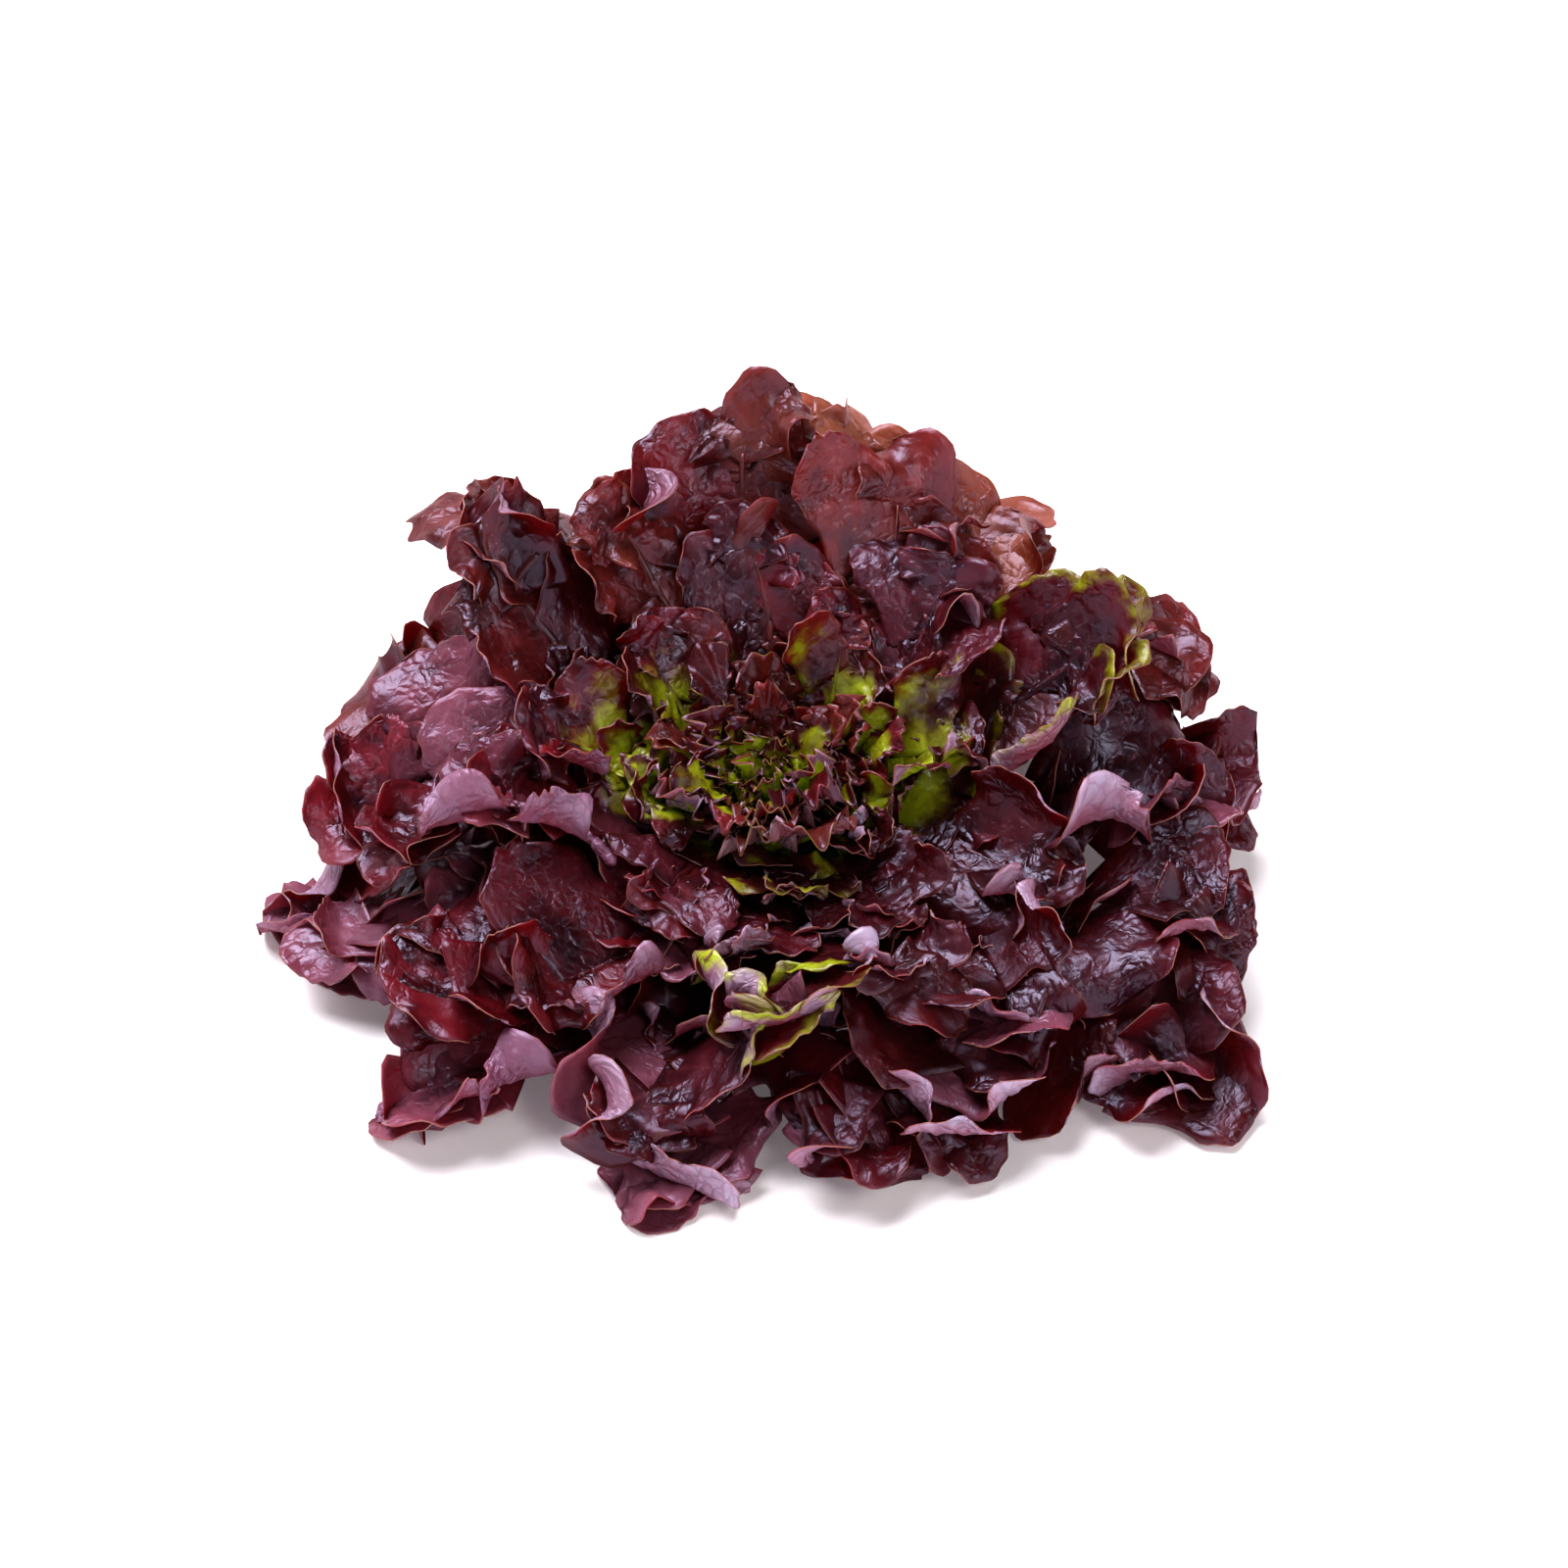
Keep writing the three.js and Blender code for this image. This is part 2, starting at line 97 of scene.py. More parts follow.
# The middle surface of a leaf's solid: rows from its base to its tip, each from one edge to the other
def readLeaf(node):
    rows, columns = solidGrid["rows"], solidGrid["columns"]
    count = 2 * (rows + columns) - 4
    bm = bmesh.new()
    bm.from_mesh(nodes[node].data)
    bmesh.ops.remove_doubles(bm, verts=bm.verts, dist=1e-6)
    bm.verts.index_update()
    near = [e for e in bm.edges if abs(e.calc_length() / millimetre - solidGrid["rimThickness"]) < 0.004]
    near.sort(key=lambda e: -(e.verts[0].co.xy.length + e.verts[1].co.xy.length))
    rungs = None
    for edge in near:
        rungs = walkRim(edge.verts[0], edge.verts[1], count)
        if rungs:
            break
    if not rungs:
        raise RuntimeError("no rim found on " + node)

    def baseStart():
        away = [rung[0].co.xy.length + rung[1].co.xy.length for rung in rungs]
        sums = [sum(away[(s + k) % count] for k in range(columns)) for s in range(count)]
        return sums.index(min(sums))

    start = baseStart()
    first, last = rungs[start][0].co, rungs[(start + columns - 1) % count][0].co
    if first.x * last.y - first.y * last.x < 0:
        rungs = [(b, a) for a, b in reversed(rungs)]
        start = baseStart()
    rungs = rungs[start:] + rungs[:start]
    sheets = []
    for side in (0, 1):
        ring = [rung[side] for rung in rungs]
        grid = [[None] * columns for _ in range(rows)]
        grid[0] = ring[:columns]
        for i in range(1, rows):
            grid[i][columns - 1] = ring[columns - 1 + i]
            grid[i][0] = ring[(count - i) % count]
        for j in range(columns):
            grid[rows - 1][columns - 1 - j] = ring[columns + rows - 2 + j]
        used = set(ring)
        for i in range(1, rows - 1):
            for j in range(1, columns - 1):
                besideIt = {e.other_vert(grid[i][j - 1]) for e in grid[i][j - 1].link_edges}
                belowIt = {e.other_vert(grid[i - 1][j]) for e in grid[i - 1][j].link_edges}
                found = [v for v in besideIt & belowIt if v not in used]
                if len(found) != 1:
                    raise RuntimeError("the grid of " + node + " isn't as expected")
                grid[i][j] = found[0]
                used.add(found[0])
        sheets.append(np.array([[list(v.co) for v in line] for line in grid]))
    bm.free()
    return (sheets[0] + sheets[1]) / 2


# Weights of a smooth curve through a row of points, at places counted in points
def splineWeights(place, count):
    place = np.clip(place, 0, count - 1 - 1e-9)
    i = place.astype(int)
    f = place - i
    parts = [
        (-f + 2 * f**2 - f**3) / 2,
        (2 - 5 * f**2 + 3 * f**3) / 2,
        (f + 4 * f**2 - 3 * f**3) / 2,
        (f**3 - f**2) / 2,
    ]
    full = np.zeros((len(place), count + 2))
    line = np.arange(len(place))
    for k, part in enumerate(parts):
        full[line, i + k] += part
    full[:, 1] += 2 * full[:, 0]
    full[:, 2] -= full[:, 0]
    full[:, count] += 2 * full[:, count + 1]
    full[:, count - 1] -= full[:, count + 1]
    return full[:, 1 : count + 1]


# Points on the smooth surface through a grid, at rows u and columns v
def onSurface(grid, u, v):
    weightsU = splineWeights(u.ravel(), grid.shape[0])
    weightsV = splineWeights(v.ravel(), grid.shape[1])
    return np.einsum("ki,kj,ijc->kc", weightsU, weightsV, grid).reshape(u.shape + (3,))


# Leaves of three ages: lengths in mm for a leaf 130 mm long, shares from 0 to 1, angles in degrees
leafSettings = {
    "outer": {
        "ruffleHeight": 1.1,
        "blisterHeight": 0.9,
        "tiltKept": 0.7,
        "tiltDrawn": [-25, 50],
        "tipCurl": [-60, 45],
        "cup": [-4, 7],
        "greenReach": [10, 30],
    },
    "middle": {
        "ruffleHeight": 1.7,
        "blisterHeight": 1.1,
        "tiltKept": 0.7,
        "tiltDrawn": [-25, 50],
        "tipCurl": [-60, 45],
        "cup": [-4, 7],
        "greenReach": [18, 42],
    },
    "inner": {
        "ruffleHeight": 2.6,
        "blisterHeight": 1.3,
        "tiltKept": 0.6,
        "tiltDrawn": [-35, 35],
        "tipCurl": [-60, 30],
        "cup": [-5, 5],
        "greenReach": [28, 56],
    },
}
# What single leaves do otherwise: an end rolled up to show the underside, green margins, a paler face as
# painted sheen, a browner or orange face as painted glow of light through the leaf, and by their number
# single lobes that are broader by a factor or have green margins
leafAccents = {
    "outer_leaf_01": {"tipTurn": 120, "violetAndPaintedSheen": 1.0},
    "outer_leaf_03": {"violetAndPaintedSheen": 1.0},
    "outer_leaf_06": {"violetAndPaintedSheen": 0.6},
    "outer_leaf_11": {"violetAndPaintedSheen": 1.0},
    "outer_leaf_16": {"violetAndPaintedSheen": 0.5},
    "middle_leaf_01": {"tipTurn": 100},
    "middle_leaf_02": {"bronzeAndPaintedGlow": 2.0},
    "middle_leaf_06": {"greenRim": 0.5},
    "middle_leaf_07": {"bronzeAndPaintedGlow": 1.5},
    "middle_leaf_11": {"tipTurn": 110},
    "middle_leaf_12": {"greenRim": 0.45},
    "middle_leaf_14": {"broad": {4: 1.4}, "greenLobes": {4: 1.1}},
    "middle_leaf_16": {"violetAndPaintedSheen": 0.3},
    "inner_leaf_03": {"tipTurn": 110},
    "inner_leaf_04": {"violetAndPaintedSheen": 0.6, "broad": {4: 1.5}},
    "inner_leaf_11": {"tiltDrawn": [-20, 10], "tipCurl": [-30, 0], "greenRim": 0.4},
}
# Lobes by the rows of a leaf's grid and its columns, counted outwards from the rib: where they start, pass
# and end, and half their width in rows
lobePlans = [
    {"hand": 0, "path": [[2.9, 0], [3.7, 1.1], [4.3, 2]], "half": 1.75},
    {"hand": 1, "path": [[3.9, 0], [4.7, 1.1], [5.3, 2]], "half": 1.75},
    {"hand": 0, "path": [[5.0, 0.2], [5.6, 1.0], [6.1, 1.9]], "half": 1.2},
    {"hand": 1, "path": [[6.0, 0.2], [6.6, 1.0], [7.1, 1.9]], "half": 1.2},
    {"hand": 0, "path": [[6.9, 0], [7.7, 1.1], [8.3, 2]], "half": 1.75},
    {"hand": 1, "path": [[7.9, 0], [8.7, 1.1], [9.3, 2]], "half": 1.75},
    {"hand": 0, "path": [[8.8, 0.1], [9.9, 1.0], [10.6, 1.9]], "half": 1.3},
    {"hand": 0, "path": [[9.3, 0], [10.8, 0.8], [12.0, 1.7]], "half": 1.5},
    {"hand": 1, "path": [[9.5, 0], [11.0, 0.9], [12.3, 1.8]], "half": 1.5},
    {"hand": 1, "path": [[9.0, 0], [11.0, 0], [13, 0]], "half": 1.8},
]
lobeShape = {
    "linesAlong": 21,
    "linesAcross": 15,
    "ribLines": [36, 7],
    "ribHalfWidth": 4.0,
    "ribEnd": 9.8,
    "ribThickness": [3.4, 0.4],
    "thickness": 0.35,
    "widthDrawn": [0.8, 1.4],
    "lengthDrawn": [0.82, 1.0],
    "waist": 0.16,
    "roundFrom": 0.5,
    "scallops": 0.5,
    "stations": 40,
    "bendOver": [0.12, 0.8],
    "curlOver": [0.5, 1.0],
    "twistDrawn": [-0.1, 0.4],
    "veinSpacing": 9,
    "veinDepth": 0.3,
    "blisterSize": 7,
    "mostTurn": 130,
    "mostTiltAtBack": 5,
    "tries": [1, 0.7, 0.4, 0.15, 0],
    "clearOfBox": 0.75,
}


# Puffed cells: 0 on their borders and 1 in their middles, over a plan in mm
def puffedCells(x, y, size, rng):
    low = [x.min() - size, y.min() - size]
    counts = [int((x.max() - low[0]) / size) + 2, int((y.max() - low[1]) / size) + 2]
    ids = np.stack(np.meshgrid(np.arange(counts[0]), np.arange(counts[1])), -1).reshape(-1, 2)
    seeds = (ids + 0.15 + 0.7 * rng.random(ids.shape)) * size + low
    seeds[:, 0] += (ids[:, 1] % 2) * size / 2
    away = np.hypot(x.ravel()[:, None] - seeds[:, 0], y.ravel()[:, None] - seeds[:, 1])
    away.partition(1, axis=1)
    share = np.clip((away[:, 1] - away[:, 0]) / size * 1.6, 0, 1).reshape(x.shape)
    return np.sin(share * math.pi / 2)


def arcLengths(points, axis):
    steps = np.linalg.norm(np.diff(points, axis=axis), axis=-1)
    zero = np.zeros_like(np.take(steps, [0], axis=axis))
    return np.concatenate([zero, np.cumsum(steps, axis=axis)], axis=axis) / millimetre


def unit(vectors):
    return vectors / np.maximum(np.linalg.norm(vectors, axis=-1, keepdims=True), 1e-12)


def surfaceNormals(points):
    return unit(np.cross(np.gradient(points, axis=0), np.gradient(points, axis=1)))


# Values given along a line of stations, read between them at other places along it
def between(places, stations, values):
    return np.stack([np.interp(places, stations, values[:, axis]) for axis in range(3)], -1)


# The curve on which a lobe lies, bent out of the leaf: its points in mm, its sideways and upward directions
def lobeAxis(grid, plan, s, rng, share):
    w = lobeShape
    rows = grid.shape[0] - 1
    middle = (grid.shape[1] - 1) / 2
    outwards = 1 if plan["hand"] else -1
    path = np.array(plan["path"]) + rng.uniform(-0.15, 0.15, (3, 1)) * [1, 0]
    pathV = middle + outwards * path[:, 1]
    stops = onSurface(grid, path[:, 0], pathV) / millimetre
    before = onSurface(grid, np.clip(path[:, 0] - 0.7, 0, rows), pathV)
    after = onSurface(grid, np.clip(path[:, 0] + 0.7, 0, rows), pathV)
    left, right = (onSurface(grid, path[:, 0], pathV + step) for step in (-0.4, 0.4))
    isTip = plan["path"][2][1] == 0
    across = unit(right - left) if isTip else -outwards * unit(after - before)
    leafUp = unit(np.cross(after - before, right - left))[0]
    t = np.linspace(0, 1, w["stations"])[:, None]
    curve = stops[0] * (1 - t) * (1 - 2 * t)
    curve = curve + stops[1] * 4 * t * (1 - t) + stops[2] * t * (2 * t - 1)
    curve = stops[0] + (curve - stops[0]) * rng.uniform(*w["lengthDrawn"])
    onwards = unit(np.gradient(curve, axis=0))
    sideways = across[0] + (across[1] - across[0]) * smoothStep(0, 0.5, t)
    sideways = unit(sideways - (sideways * onwards).sum(-1, keepdims=True) * onwards)
    upwards = np.cross(onwards, sideways)

    # Its tilt out of the leaf's own face, and then the curl of its end
    reach = stops[2] - stops[0]
    rise = reach @ leafUp
    now = math.degrees(math.atan2(rise, np.linalg.norm(reach - rise * leafUp)))
    wanted = s["tiltKept"] * now + rng.uniform(*s["tiltDrawn"]) * share + (0.5 * s["tipTurn"] if isTip else 0)
    atBack = smoothStep(0, 60, curve[:, 1].mean())
    wanted = min(wanted, 90 + (w["mostTiltAtBack"] - 90) * atBack)
    turn = float(np.clip(1.6 * (wanted - now), -w["mostTurn"], w["mostTurn"]))
    curl = rng.uniform(*s["tipCurl"]) * (0.3 + 0.7 * share)
    bend = np.radians(turn * smoothStep(*w["bendOver"], t) + curl * smoothStep(*w["curlOver"], t))
    steps = np.linalg.norm(np.diff(curve, axis=0), axis=-1, keepdims=True)
    bentOnwards = np.cos(bend) * onwards + np.sin(bend) * upwards
    bentUpwards = np.cos(bend) * upwards - np.sin(bend) * onwards
    bent = curve[0] + np.concatenate([np.zeros((1, 3)), np.cumsum(bentOnwards[1:] * steps, axis=0)])
    return bent, sideways, bentUpwards, float(steps.sum())


# One lobe: a rounded tongue over its part of the leaf's grid, tilted, curled, cupped and blistered
def growLobe(grid, plan, size, s, rng, share, wider):
    w = lobeShape
    n, m = w["linesAlong"], w["linesAcross"]
    a, c = np.meshgrid(np.linspace(0, 1, n), np.linspace(-1, 1, m), indexing="ij")
    axis, sideways, upwards, length = lobeAxis(grid, plan, s, rng, share)
    stations = np.linspace(0, 1, w["stations"])
    half = plan["half"] * size * 130 / (grid.shape[0] - 1) * rng.uniform(*w["widthDrawn"]) * wider

    # A tongue with a waist and a round end, laid flat, in mm
    shape = 1 - w["waist"] * np.exp(-(((a - 0.3) / 0.16) ** 2))
    shape = shape * np.sqrt(1 - 0.9 * np.clip((a - w["roundFrom"]) / (1 - w["roundFrom"]), 0, 1) ** 2)
    uneven = np.sin(9 * a + 9 * rng.random())
    uneven = uneven + w["scallops"] * np.sin(30 * a + 9 * rng.random() + 2 * np.sign(c))
    shape = shape * (1 + 0.06 * uneven * smoothStep(0.3, 0.55, a) * np.sign(c))
    flatAcross = c * shape * half
    notched = rng.uniform(0.005, 0.035) * (1 + np.cos(rng.uniform(4, 9) * c + 6 * rng.random()))
    place = a - (0.05 * (1 - np.sqrt(1 - 0.9 * c**2)) + notched) * smoothStep(0.7, 1, a)
    flatAlong = place * length
    toEdge = np.minimum(half * shape * (1 - np.abs(c)), length * (1 - a))
    free = smoothStep(0.25, 0.5, a)

    # Cupped, twisted, ruffled at the margin and puffed between the veins
    lift = rng.uniform(*s["cup"]) * size * c**2 * smoothStep(0.25, 0.9, a) * shape
    lift = lift + rng.uniform(*w["twistDrawn"]) * flatAcross * smoothStep(0.2, 0.9, a) * 0.6
    angle = np.arctan2(flatAcross, flatAlong - 0.45 * length)
    ruffle = np.sin(rng.uniform(2.5, 4.5) * angle + 6 * rng.random())
    ruffle = ruffle + 0.6 * np.sin(rng.uniform(6, 10) * angle + 6 * rng.random())
    lift = lift + s["ruffleHeight"] * size * ruffle * np.exp(-toEdge / (6 * size)) * free
    slanted = (flatAlong - 0.8 * np.abs(flatAcross)) / (w["veinSpacing"] * size) + 0.5 * (c > 0)
    toVein = np.abs((slanted + 0.5) % 1 - 0.5) * w["veinSpacing"] * size
    vein = 0.8 * np.exp(-((toVein / 0.9) ** 2)) * (1 - smoothStep(0.4, 0.95, np.abs(c)))
    vein = np.maximum(vein, np.exp(-((flatAcross / 1.3) ** 2)) * (1 - 0.6 * a))
    cells = puffedCells(flatAcross, flatAlong + 0.3 * np.abs(flatAcross), w["blisterSize"] * size**0.6, rng)
    puff = cells * (1 - 0.5 * vein) * smoothStep(0, 5, toEdge) * smoothStep(0.1, 0.35, a)
    lift = lift + s["blisterHeight"] * size**0.5 * puff - w["veinDepth"] * vein
    points = between(place, stations, axis) + between(place, stations, sideways) * flatAcross[..., None]
    points = (points + between(place, stations, upwards) * lift[..., None]) * millimetre
    rim = w["clearOfBox"] * millimetre
    return {
        "points": np.clip(points, boxLow + rim, boxHigh - rim),
        "plan": np.stack([flatAcross + 100 * rng.random(), flatAlong + 100 * rng.random()], -1),
        "edge": np.clip(toEdge / 10 + 1 - smoothStep(0.3, 0.5, a), 0, 1),
        "vein": vein,
        "thick": np.full(a.shape, w["thickness"]),
    }


# The rib, broad at its foot and narrow between the lobes
def growRib(grid, size):
    w = lobeShape
    n, m = w["ribLines"]
    middle = (grid.shape[1] - 1) / 2
    u, c = np.meshgrid(np.linspace(0, w["ribEnd"], n), np.linspace(-1, 1, m), indexing="ij")
    across = arcLengths(onSurface(grid, u, middle + c * middle), 1)
    half = across[:, [-1]] / 2
    taper = 1 - 0.8 * u / w["ribEnd"]
    wanted = half + (w["ribHalfWidth"] * size * taper - half) * smoothStep(0.5, 3.2, u)
    points = onSurface(grid, u, middle + c * middle * np.clip(wanted / half, 0, 1))
    flat = c * wanted
    ridge = np.exp(-((flat / (0.6 * w["ribHalfWidth"])) ** 2)) * taper
    points = points + surfaceNormals(points) * ((0.25 - 0.5 * c**2)[..., None] * millimetre)
    most, least = w["ribThickness"]
    thick = least + (most - least) * ridge * (1 - u / w["ribEnd"])
    return {
        "points": points,
        "plan": np.stack([flat, np.repeat(arcLengths(points, 0)[:, [m // 2]], m, 1)], -1),
        "edge": np.ones_like(u),
        "vein": np.clip(0.4 + 0.6 * ridge, 0, 1),
        "thick": thick,
    }


# A grid of points, made ready for finding what crosses it
def treeOf(points):
    n, m = points.shape[:2]
    ids = np.arange(n * m).reshape(n, m)
    quads = np.stack([ids[:-1, :-1], ids[1:, :-1], ids[1:, 1:], ids[:-1, 1:]], -1).reshape(-1, 4)
    return BVHTree.FromPolygons(points.reshape(-1, 3).tolist(), quads.tolist())


# Every blade grown so far, with its box, so that a lobe can be laid beside those of other leaves
grownBlades = []


# Whether a lobe crosses a blade of another leaf; its foot, where leaves crowd, isn't looked at
def touches(points, leafName):
    tree = treeOf(points[6::2, ::2])
    low, high = points.min((0, 1)), points.max((0, 1))
    for owner, otherLow, otherHigh, other in grownBlades:
        apart = (low > otherHigh).any() or (high < otherLow).any()
        if owner != leafName and not apart and tree.overlap(other):
            return True
    return False


# All the blades of one large leaf; each lobe takes the most lively of its tries that crosses no other leaf
def growLeaf(name, seed, s):
    grid = readLeaf(name)
    size = arcLengths(grid, 0)[-1, grid.shape[1] // 2] / 130
    blades = [growRib(grid, size)]
    for k, plan in enumerate(lobePlans):
        for share in lobeShape["tries"]:
            lobe = growLobe(grid, plan, size, s, drawer(seed * 10 + k), share, s["broad"].get(k, 1))
            if not touches(lobe["points"], name):
                break
        blades.append(lobe)
    for blade in blades:
        points = blade["points"]
        grownBlades.append((name, points.min((0, 1)), points.max((0, 1)), treeOf(points[::2, ::2])))
    return blades


# What a blade's grid holds at each point: its place, its place laid flat in mm, and its looks
leafKeys = ("points", "plan", "thick", "edge", "vein", "green", "tone", "shade")


# Grids of points made closed blades of one piece: upper face, underside and rim take its three materials
def bladeObject(name, leaves, thickest):
    bm = bmesh.new()
    columnOf, rowOf = [], []
    for leaf in leaves:
        n, m = leaf["points"].shape[:2]
        made = bmesh.ops.create_grid(bm, x_segments=m - 1, y_segments=n - 1, size=1)["verts"]
        for vert in made:
            column = m - 1 - round((vert.co.x + 1) / 2 * (m - 1))
            row = round((vert.co.y + 1) / 2 * (n - 1))
            columnOf.append(column)
            rowOf.append(row)
        if len(made) != n * m:
            raise RuntimeError("a grid of " + name + " has another size")
    mesh = bpy.data.meshes.new(name)
    bm.to_mesh(mesh)
    bm.free()
    start = 0
    gathered = {key: [] for key in leafKeys}
    for leaf in leaves:
        n, m = leaf["points"].shape[:2]
        pick = (np.array(rowOf[start : start + n * m]), np.array(columnOf[start : start + n * m]))
        for key in gathered:
            gathered[key].append(leaf[key][pick])
        start += n * m
    values = {key: np.concatenate(parts) for key, parts in gathered.items()}
    mesh.vertices.foreach_set("co", values["points"].ravel())
    corner = np.empty(len(mesh.loops), int)
    mesh.loops.foreach_get("vertex_index", corner)
    mesh.uv_layers.new(name="leafPlan").data.foreach_set("uv", (values["plan"][corner] / 100).ravel())
    for key in ("edge", "vein", "green", "tone", "shade"):
        mesh.attributes.new(key, "FLOAT", "POINT").data.foreach_set("value", values[key].astype(np.float32))
    mesh.polygons.foreach_set("use_smooth", [True] * len(mesh.polygons))
    mesh.update()
    piece = bpy.data.objects.new(name, mesh)
    bpy.context.scene.collection.objects.link(piece)
    group = piece.vertex_groups.new(name="thickness")
    for index, share in enumerate(values["thick"] / thickest):
        group.add([index], float(share), "REPLACE")
    solid = piece.modifiers.new("blade", "SOLIDIFY")
    solid.thickness = thickest * millimetre
    solid.offset = -1
    solid.vertex_group = "thickness"
    solid.material_offset = 1
    solid.material_offset_rim = 2
    return piece


# Colours are linear, by what each part of a leaf shows
leafColours = {
    "dark": (0.014, 0.0012, 0.0026, 1),
    "burgundy": (0.060, 0.0032, 0.0064, 1),
    "wine": (0.260, 0.0120, 0.020, 1),
    # bronze is the leaf's own tone and also painted glow of light through the back leaves; orange is painted
    # glow
    "bronzeAndPaintedGlow": (0.235, 0.070, 0.042, 1),
    "violetAndPaintedSheen": (0.300, 0.125, 0.180, 1),
    # violet is the pale tone of single lobes and also painted sheen on the leaves to the left
    "paintedGlowOrange": (0.360, 0.125, 0.060, 1),
    "olive": (0.200, 0.150, 0.010, 1),
    "leafGreen": (0.48, 0.55, 0.018, 1),
    "paleGreen": (0.58, 0.68, 0.060, 1),
    "underMauve": (0.54, 0.46, 0.60, 1),
    "underRose": (0.44, 0.270, 0.360, 1),
    "underWine": (0.210, 0.068, 0.120, 1),
    "underBrown": (0.34, 0.17, 0.12, 1),
    "tanRim": (0.30, 0.140, 0.095, 1),
    "ribPink": (0.30, 0.085, 0.085, 1),
    "throughRed": (0.72, 0.055, 0.030, 1),
    "throughGreen": (0.50, 0.66, 0.02, 1),
    "sheen": (0.76, 0.77, 1.0, 1),
}


class Builder:
    # Adds nodes to one node tree, in few words
    def __init__(self, tree):
        self.tree = tree

    def node(self, kind, **values):
        made = self.tree.nodes.new(kind)
        for key, value in values.items():
            setattr(made, key, value)
        return made

    def join(self, output, socket):
        self.tree.links.new(output, socket)

    def attribute(self, name):
        return self.node("ShaderNodeAttribute", attribute_name=name).outputs["Fac"]

    def fill(self, socket, value):
        if isinstance(value, bpy.types.NodeSocket):
            self.join(value, socket)
        else:
            socket.default_value = value

    def math(self, operation, a, b=0.0, clamp=False):
        made = self.node("ShaderNodeMath", operation=operation, use_clamp=clamp)
        self.fill(made.inputs[0], a)
        self.fill(made.inputs[1], b)
        return made.outputs[0]

    def ramp(self, value, low, high, start=0.0, end=1.0):
        made = self.node("ShaderNodeMapRange", interpolation_type="SMOOTHSTEP")
        self.fill(made.inputs["Value"], value)
        made.inputs["From Min"].default_value = low
        made.inputs["From Max"].default_value = high
        made.inputs["To Min"].default_value = start
        made.inputs["To Max"].default_value = end
        return made.outputs["Result"]

    def mix(self, share, a, b):
        made = self.node("ShaderNodeMix", data_type="RGBA")
        self.fill(made.inputs["Factor"], share)
        self.fill(made.inputs[6], a)
        self.fill(made.inputs[7], b)
        return made.outputs[2]

    def noise(self, vector, scale, detail=3.0, roughness=0.55):
        made = self.node("ShaderNodeTexNoise")
        self.join(vector, made.inputs["Vector"])
        made.inputs["Scale"].default_value = scale
        made.inputs["Detail"].default_value = detail
        made.inputs["Roughness"].default_value = roughness
        return made.outputs["Fac"]


# The patterns of leaf skin by how many there are to 100 mm, and how far each raises the surface
skinScales = {
    "net": 26,
    "rimNet": 40,
    "wander": 14,
    "wrinkles": 14,
    "grain": 150,
    "mottle": 7,
    "patches": 5,
    "specks": 45,
}
skinHeights = {"net": 0.9, "wrinkles": 1.0, "grain": 0.08}


# The fine net of veins, the grain and the pale specks of leaf skin, used by every leaf material
def makeSkinGroup():
    group = bpy.data.node_groups.new("leafSkin", "ShaderNodeTree")
    group.interface.new_socket("Plan", in_out="INPUT", socket_type="NodeSocketVector")
    group.interface.new_socket("Net Scale", in_out="INPUT", socket_type="NodeSocketFloat")
    group.interface.new_socket("Height", in_out="OUTPUT", socket_type="NodeSocketFloat")
    group.interface.new_socket("Net", in_out="OUTPUT", socket_type="NodeSocketFloat")
    group.interface.new_socket("Mottle", in_out="OUTPUT", socket_type="NodeSocketFloat")
    group.interface.new_socket("Specks", in_out="OUTPUT", socket_type="NodeSocketFloat")
    b = Builder(group)
    given = b.node("NodeGroupInput")
    put = b.node("NodeGroupOutput")
    wander = b.node("ShaderNodeTexNoise")
    b.join(given.outputs["Plan"], wander.inputs["Vector"])
    wander.inputs["Scale"].default_value = skinScales["wander"]
    wander.inputs["Detail"].default_value = 3
    shifted = b.node("ShaderNodeVectorMath", operation="MULTIPLY_ADD")
    b.join(wander.outputs["Color"], shifted.inputs[0])
    shifted.inputs[1].default_value = (0.07, 0.07, 0.07)
    b.join(given.outputs["Plan"], shifted.inputs[2])
    cells = b.node("ShaderNodeTexVoronoi", feature="DISTANCE_TO_EDGE")
    b.join(shifted.outputs["Vector"], cells.inputs["Vector"])
    b.join(given.outputs["Net Scale"], cells.inputs["Scale"])
    net = b.ramp(cells.outputs["Distance"], 0.0, 0.12, 1.0, 0.0)
    puffed = b.math("POWER", b.ramp(cells.outputs["Distance"], 0.0, 0.42), 0.6)
    wrinkled = b.noise(shifted.outputs["Vector"], skinScales["wrinkles"], 5, 0.6)
    grain = b.noise(given.outputs["Plan"], skinScales["grain"], 1)
    mottle = b.noise(given.outputs["Plan"], skinScales["mottle"], 4)
    patches = b.ramp(b.noise(given.outputs["Plan"], skinScales["patches"], 1), 0.35, 0.65, 0.25, 1.0)
    cushions = b.math("MULTIPLY", b.math("MULTIPLY", puffed, patches), skinHeights["net"])
    height = b.math("ADD", b.math("MULTIPLY", grain, skinHeights["grain"]), cushions)
    height = b.math("ADD", height, b.math("MULTIPLY", wrinkled, skinHeights["wrinkles"]))
    b.join(height, put.inputs["Height"])
    b.join(net, put.inputs["Net"])
    dots = b.node("ShaderNodeTexVoronoi")
    b.join(given.outputs["Plan"], dots.inputs["Vector"])
    dots.inputs["Scale"].default_value = skinScales["specks"]
    small = b.ramp(dots.outputs["Distance"], 0.05, 0.13, 1.0, 0.0)
    b.join(b.math("MULTIPLY", small, b.ramp(mottle, 0.45, 0.6)), put.inputs["Specks"])
    b.join(mottle, put.inputs["Mottle"])
    return group
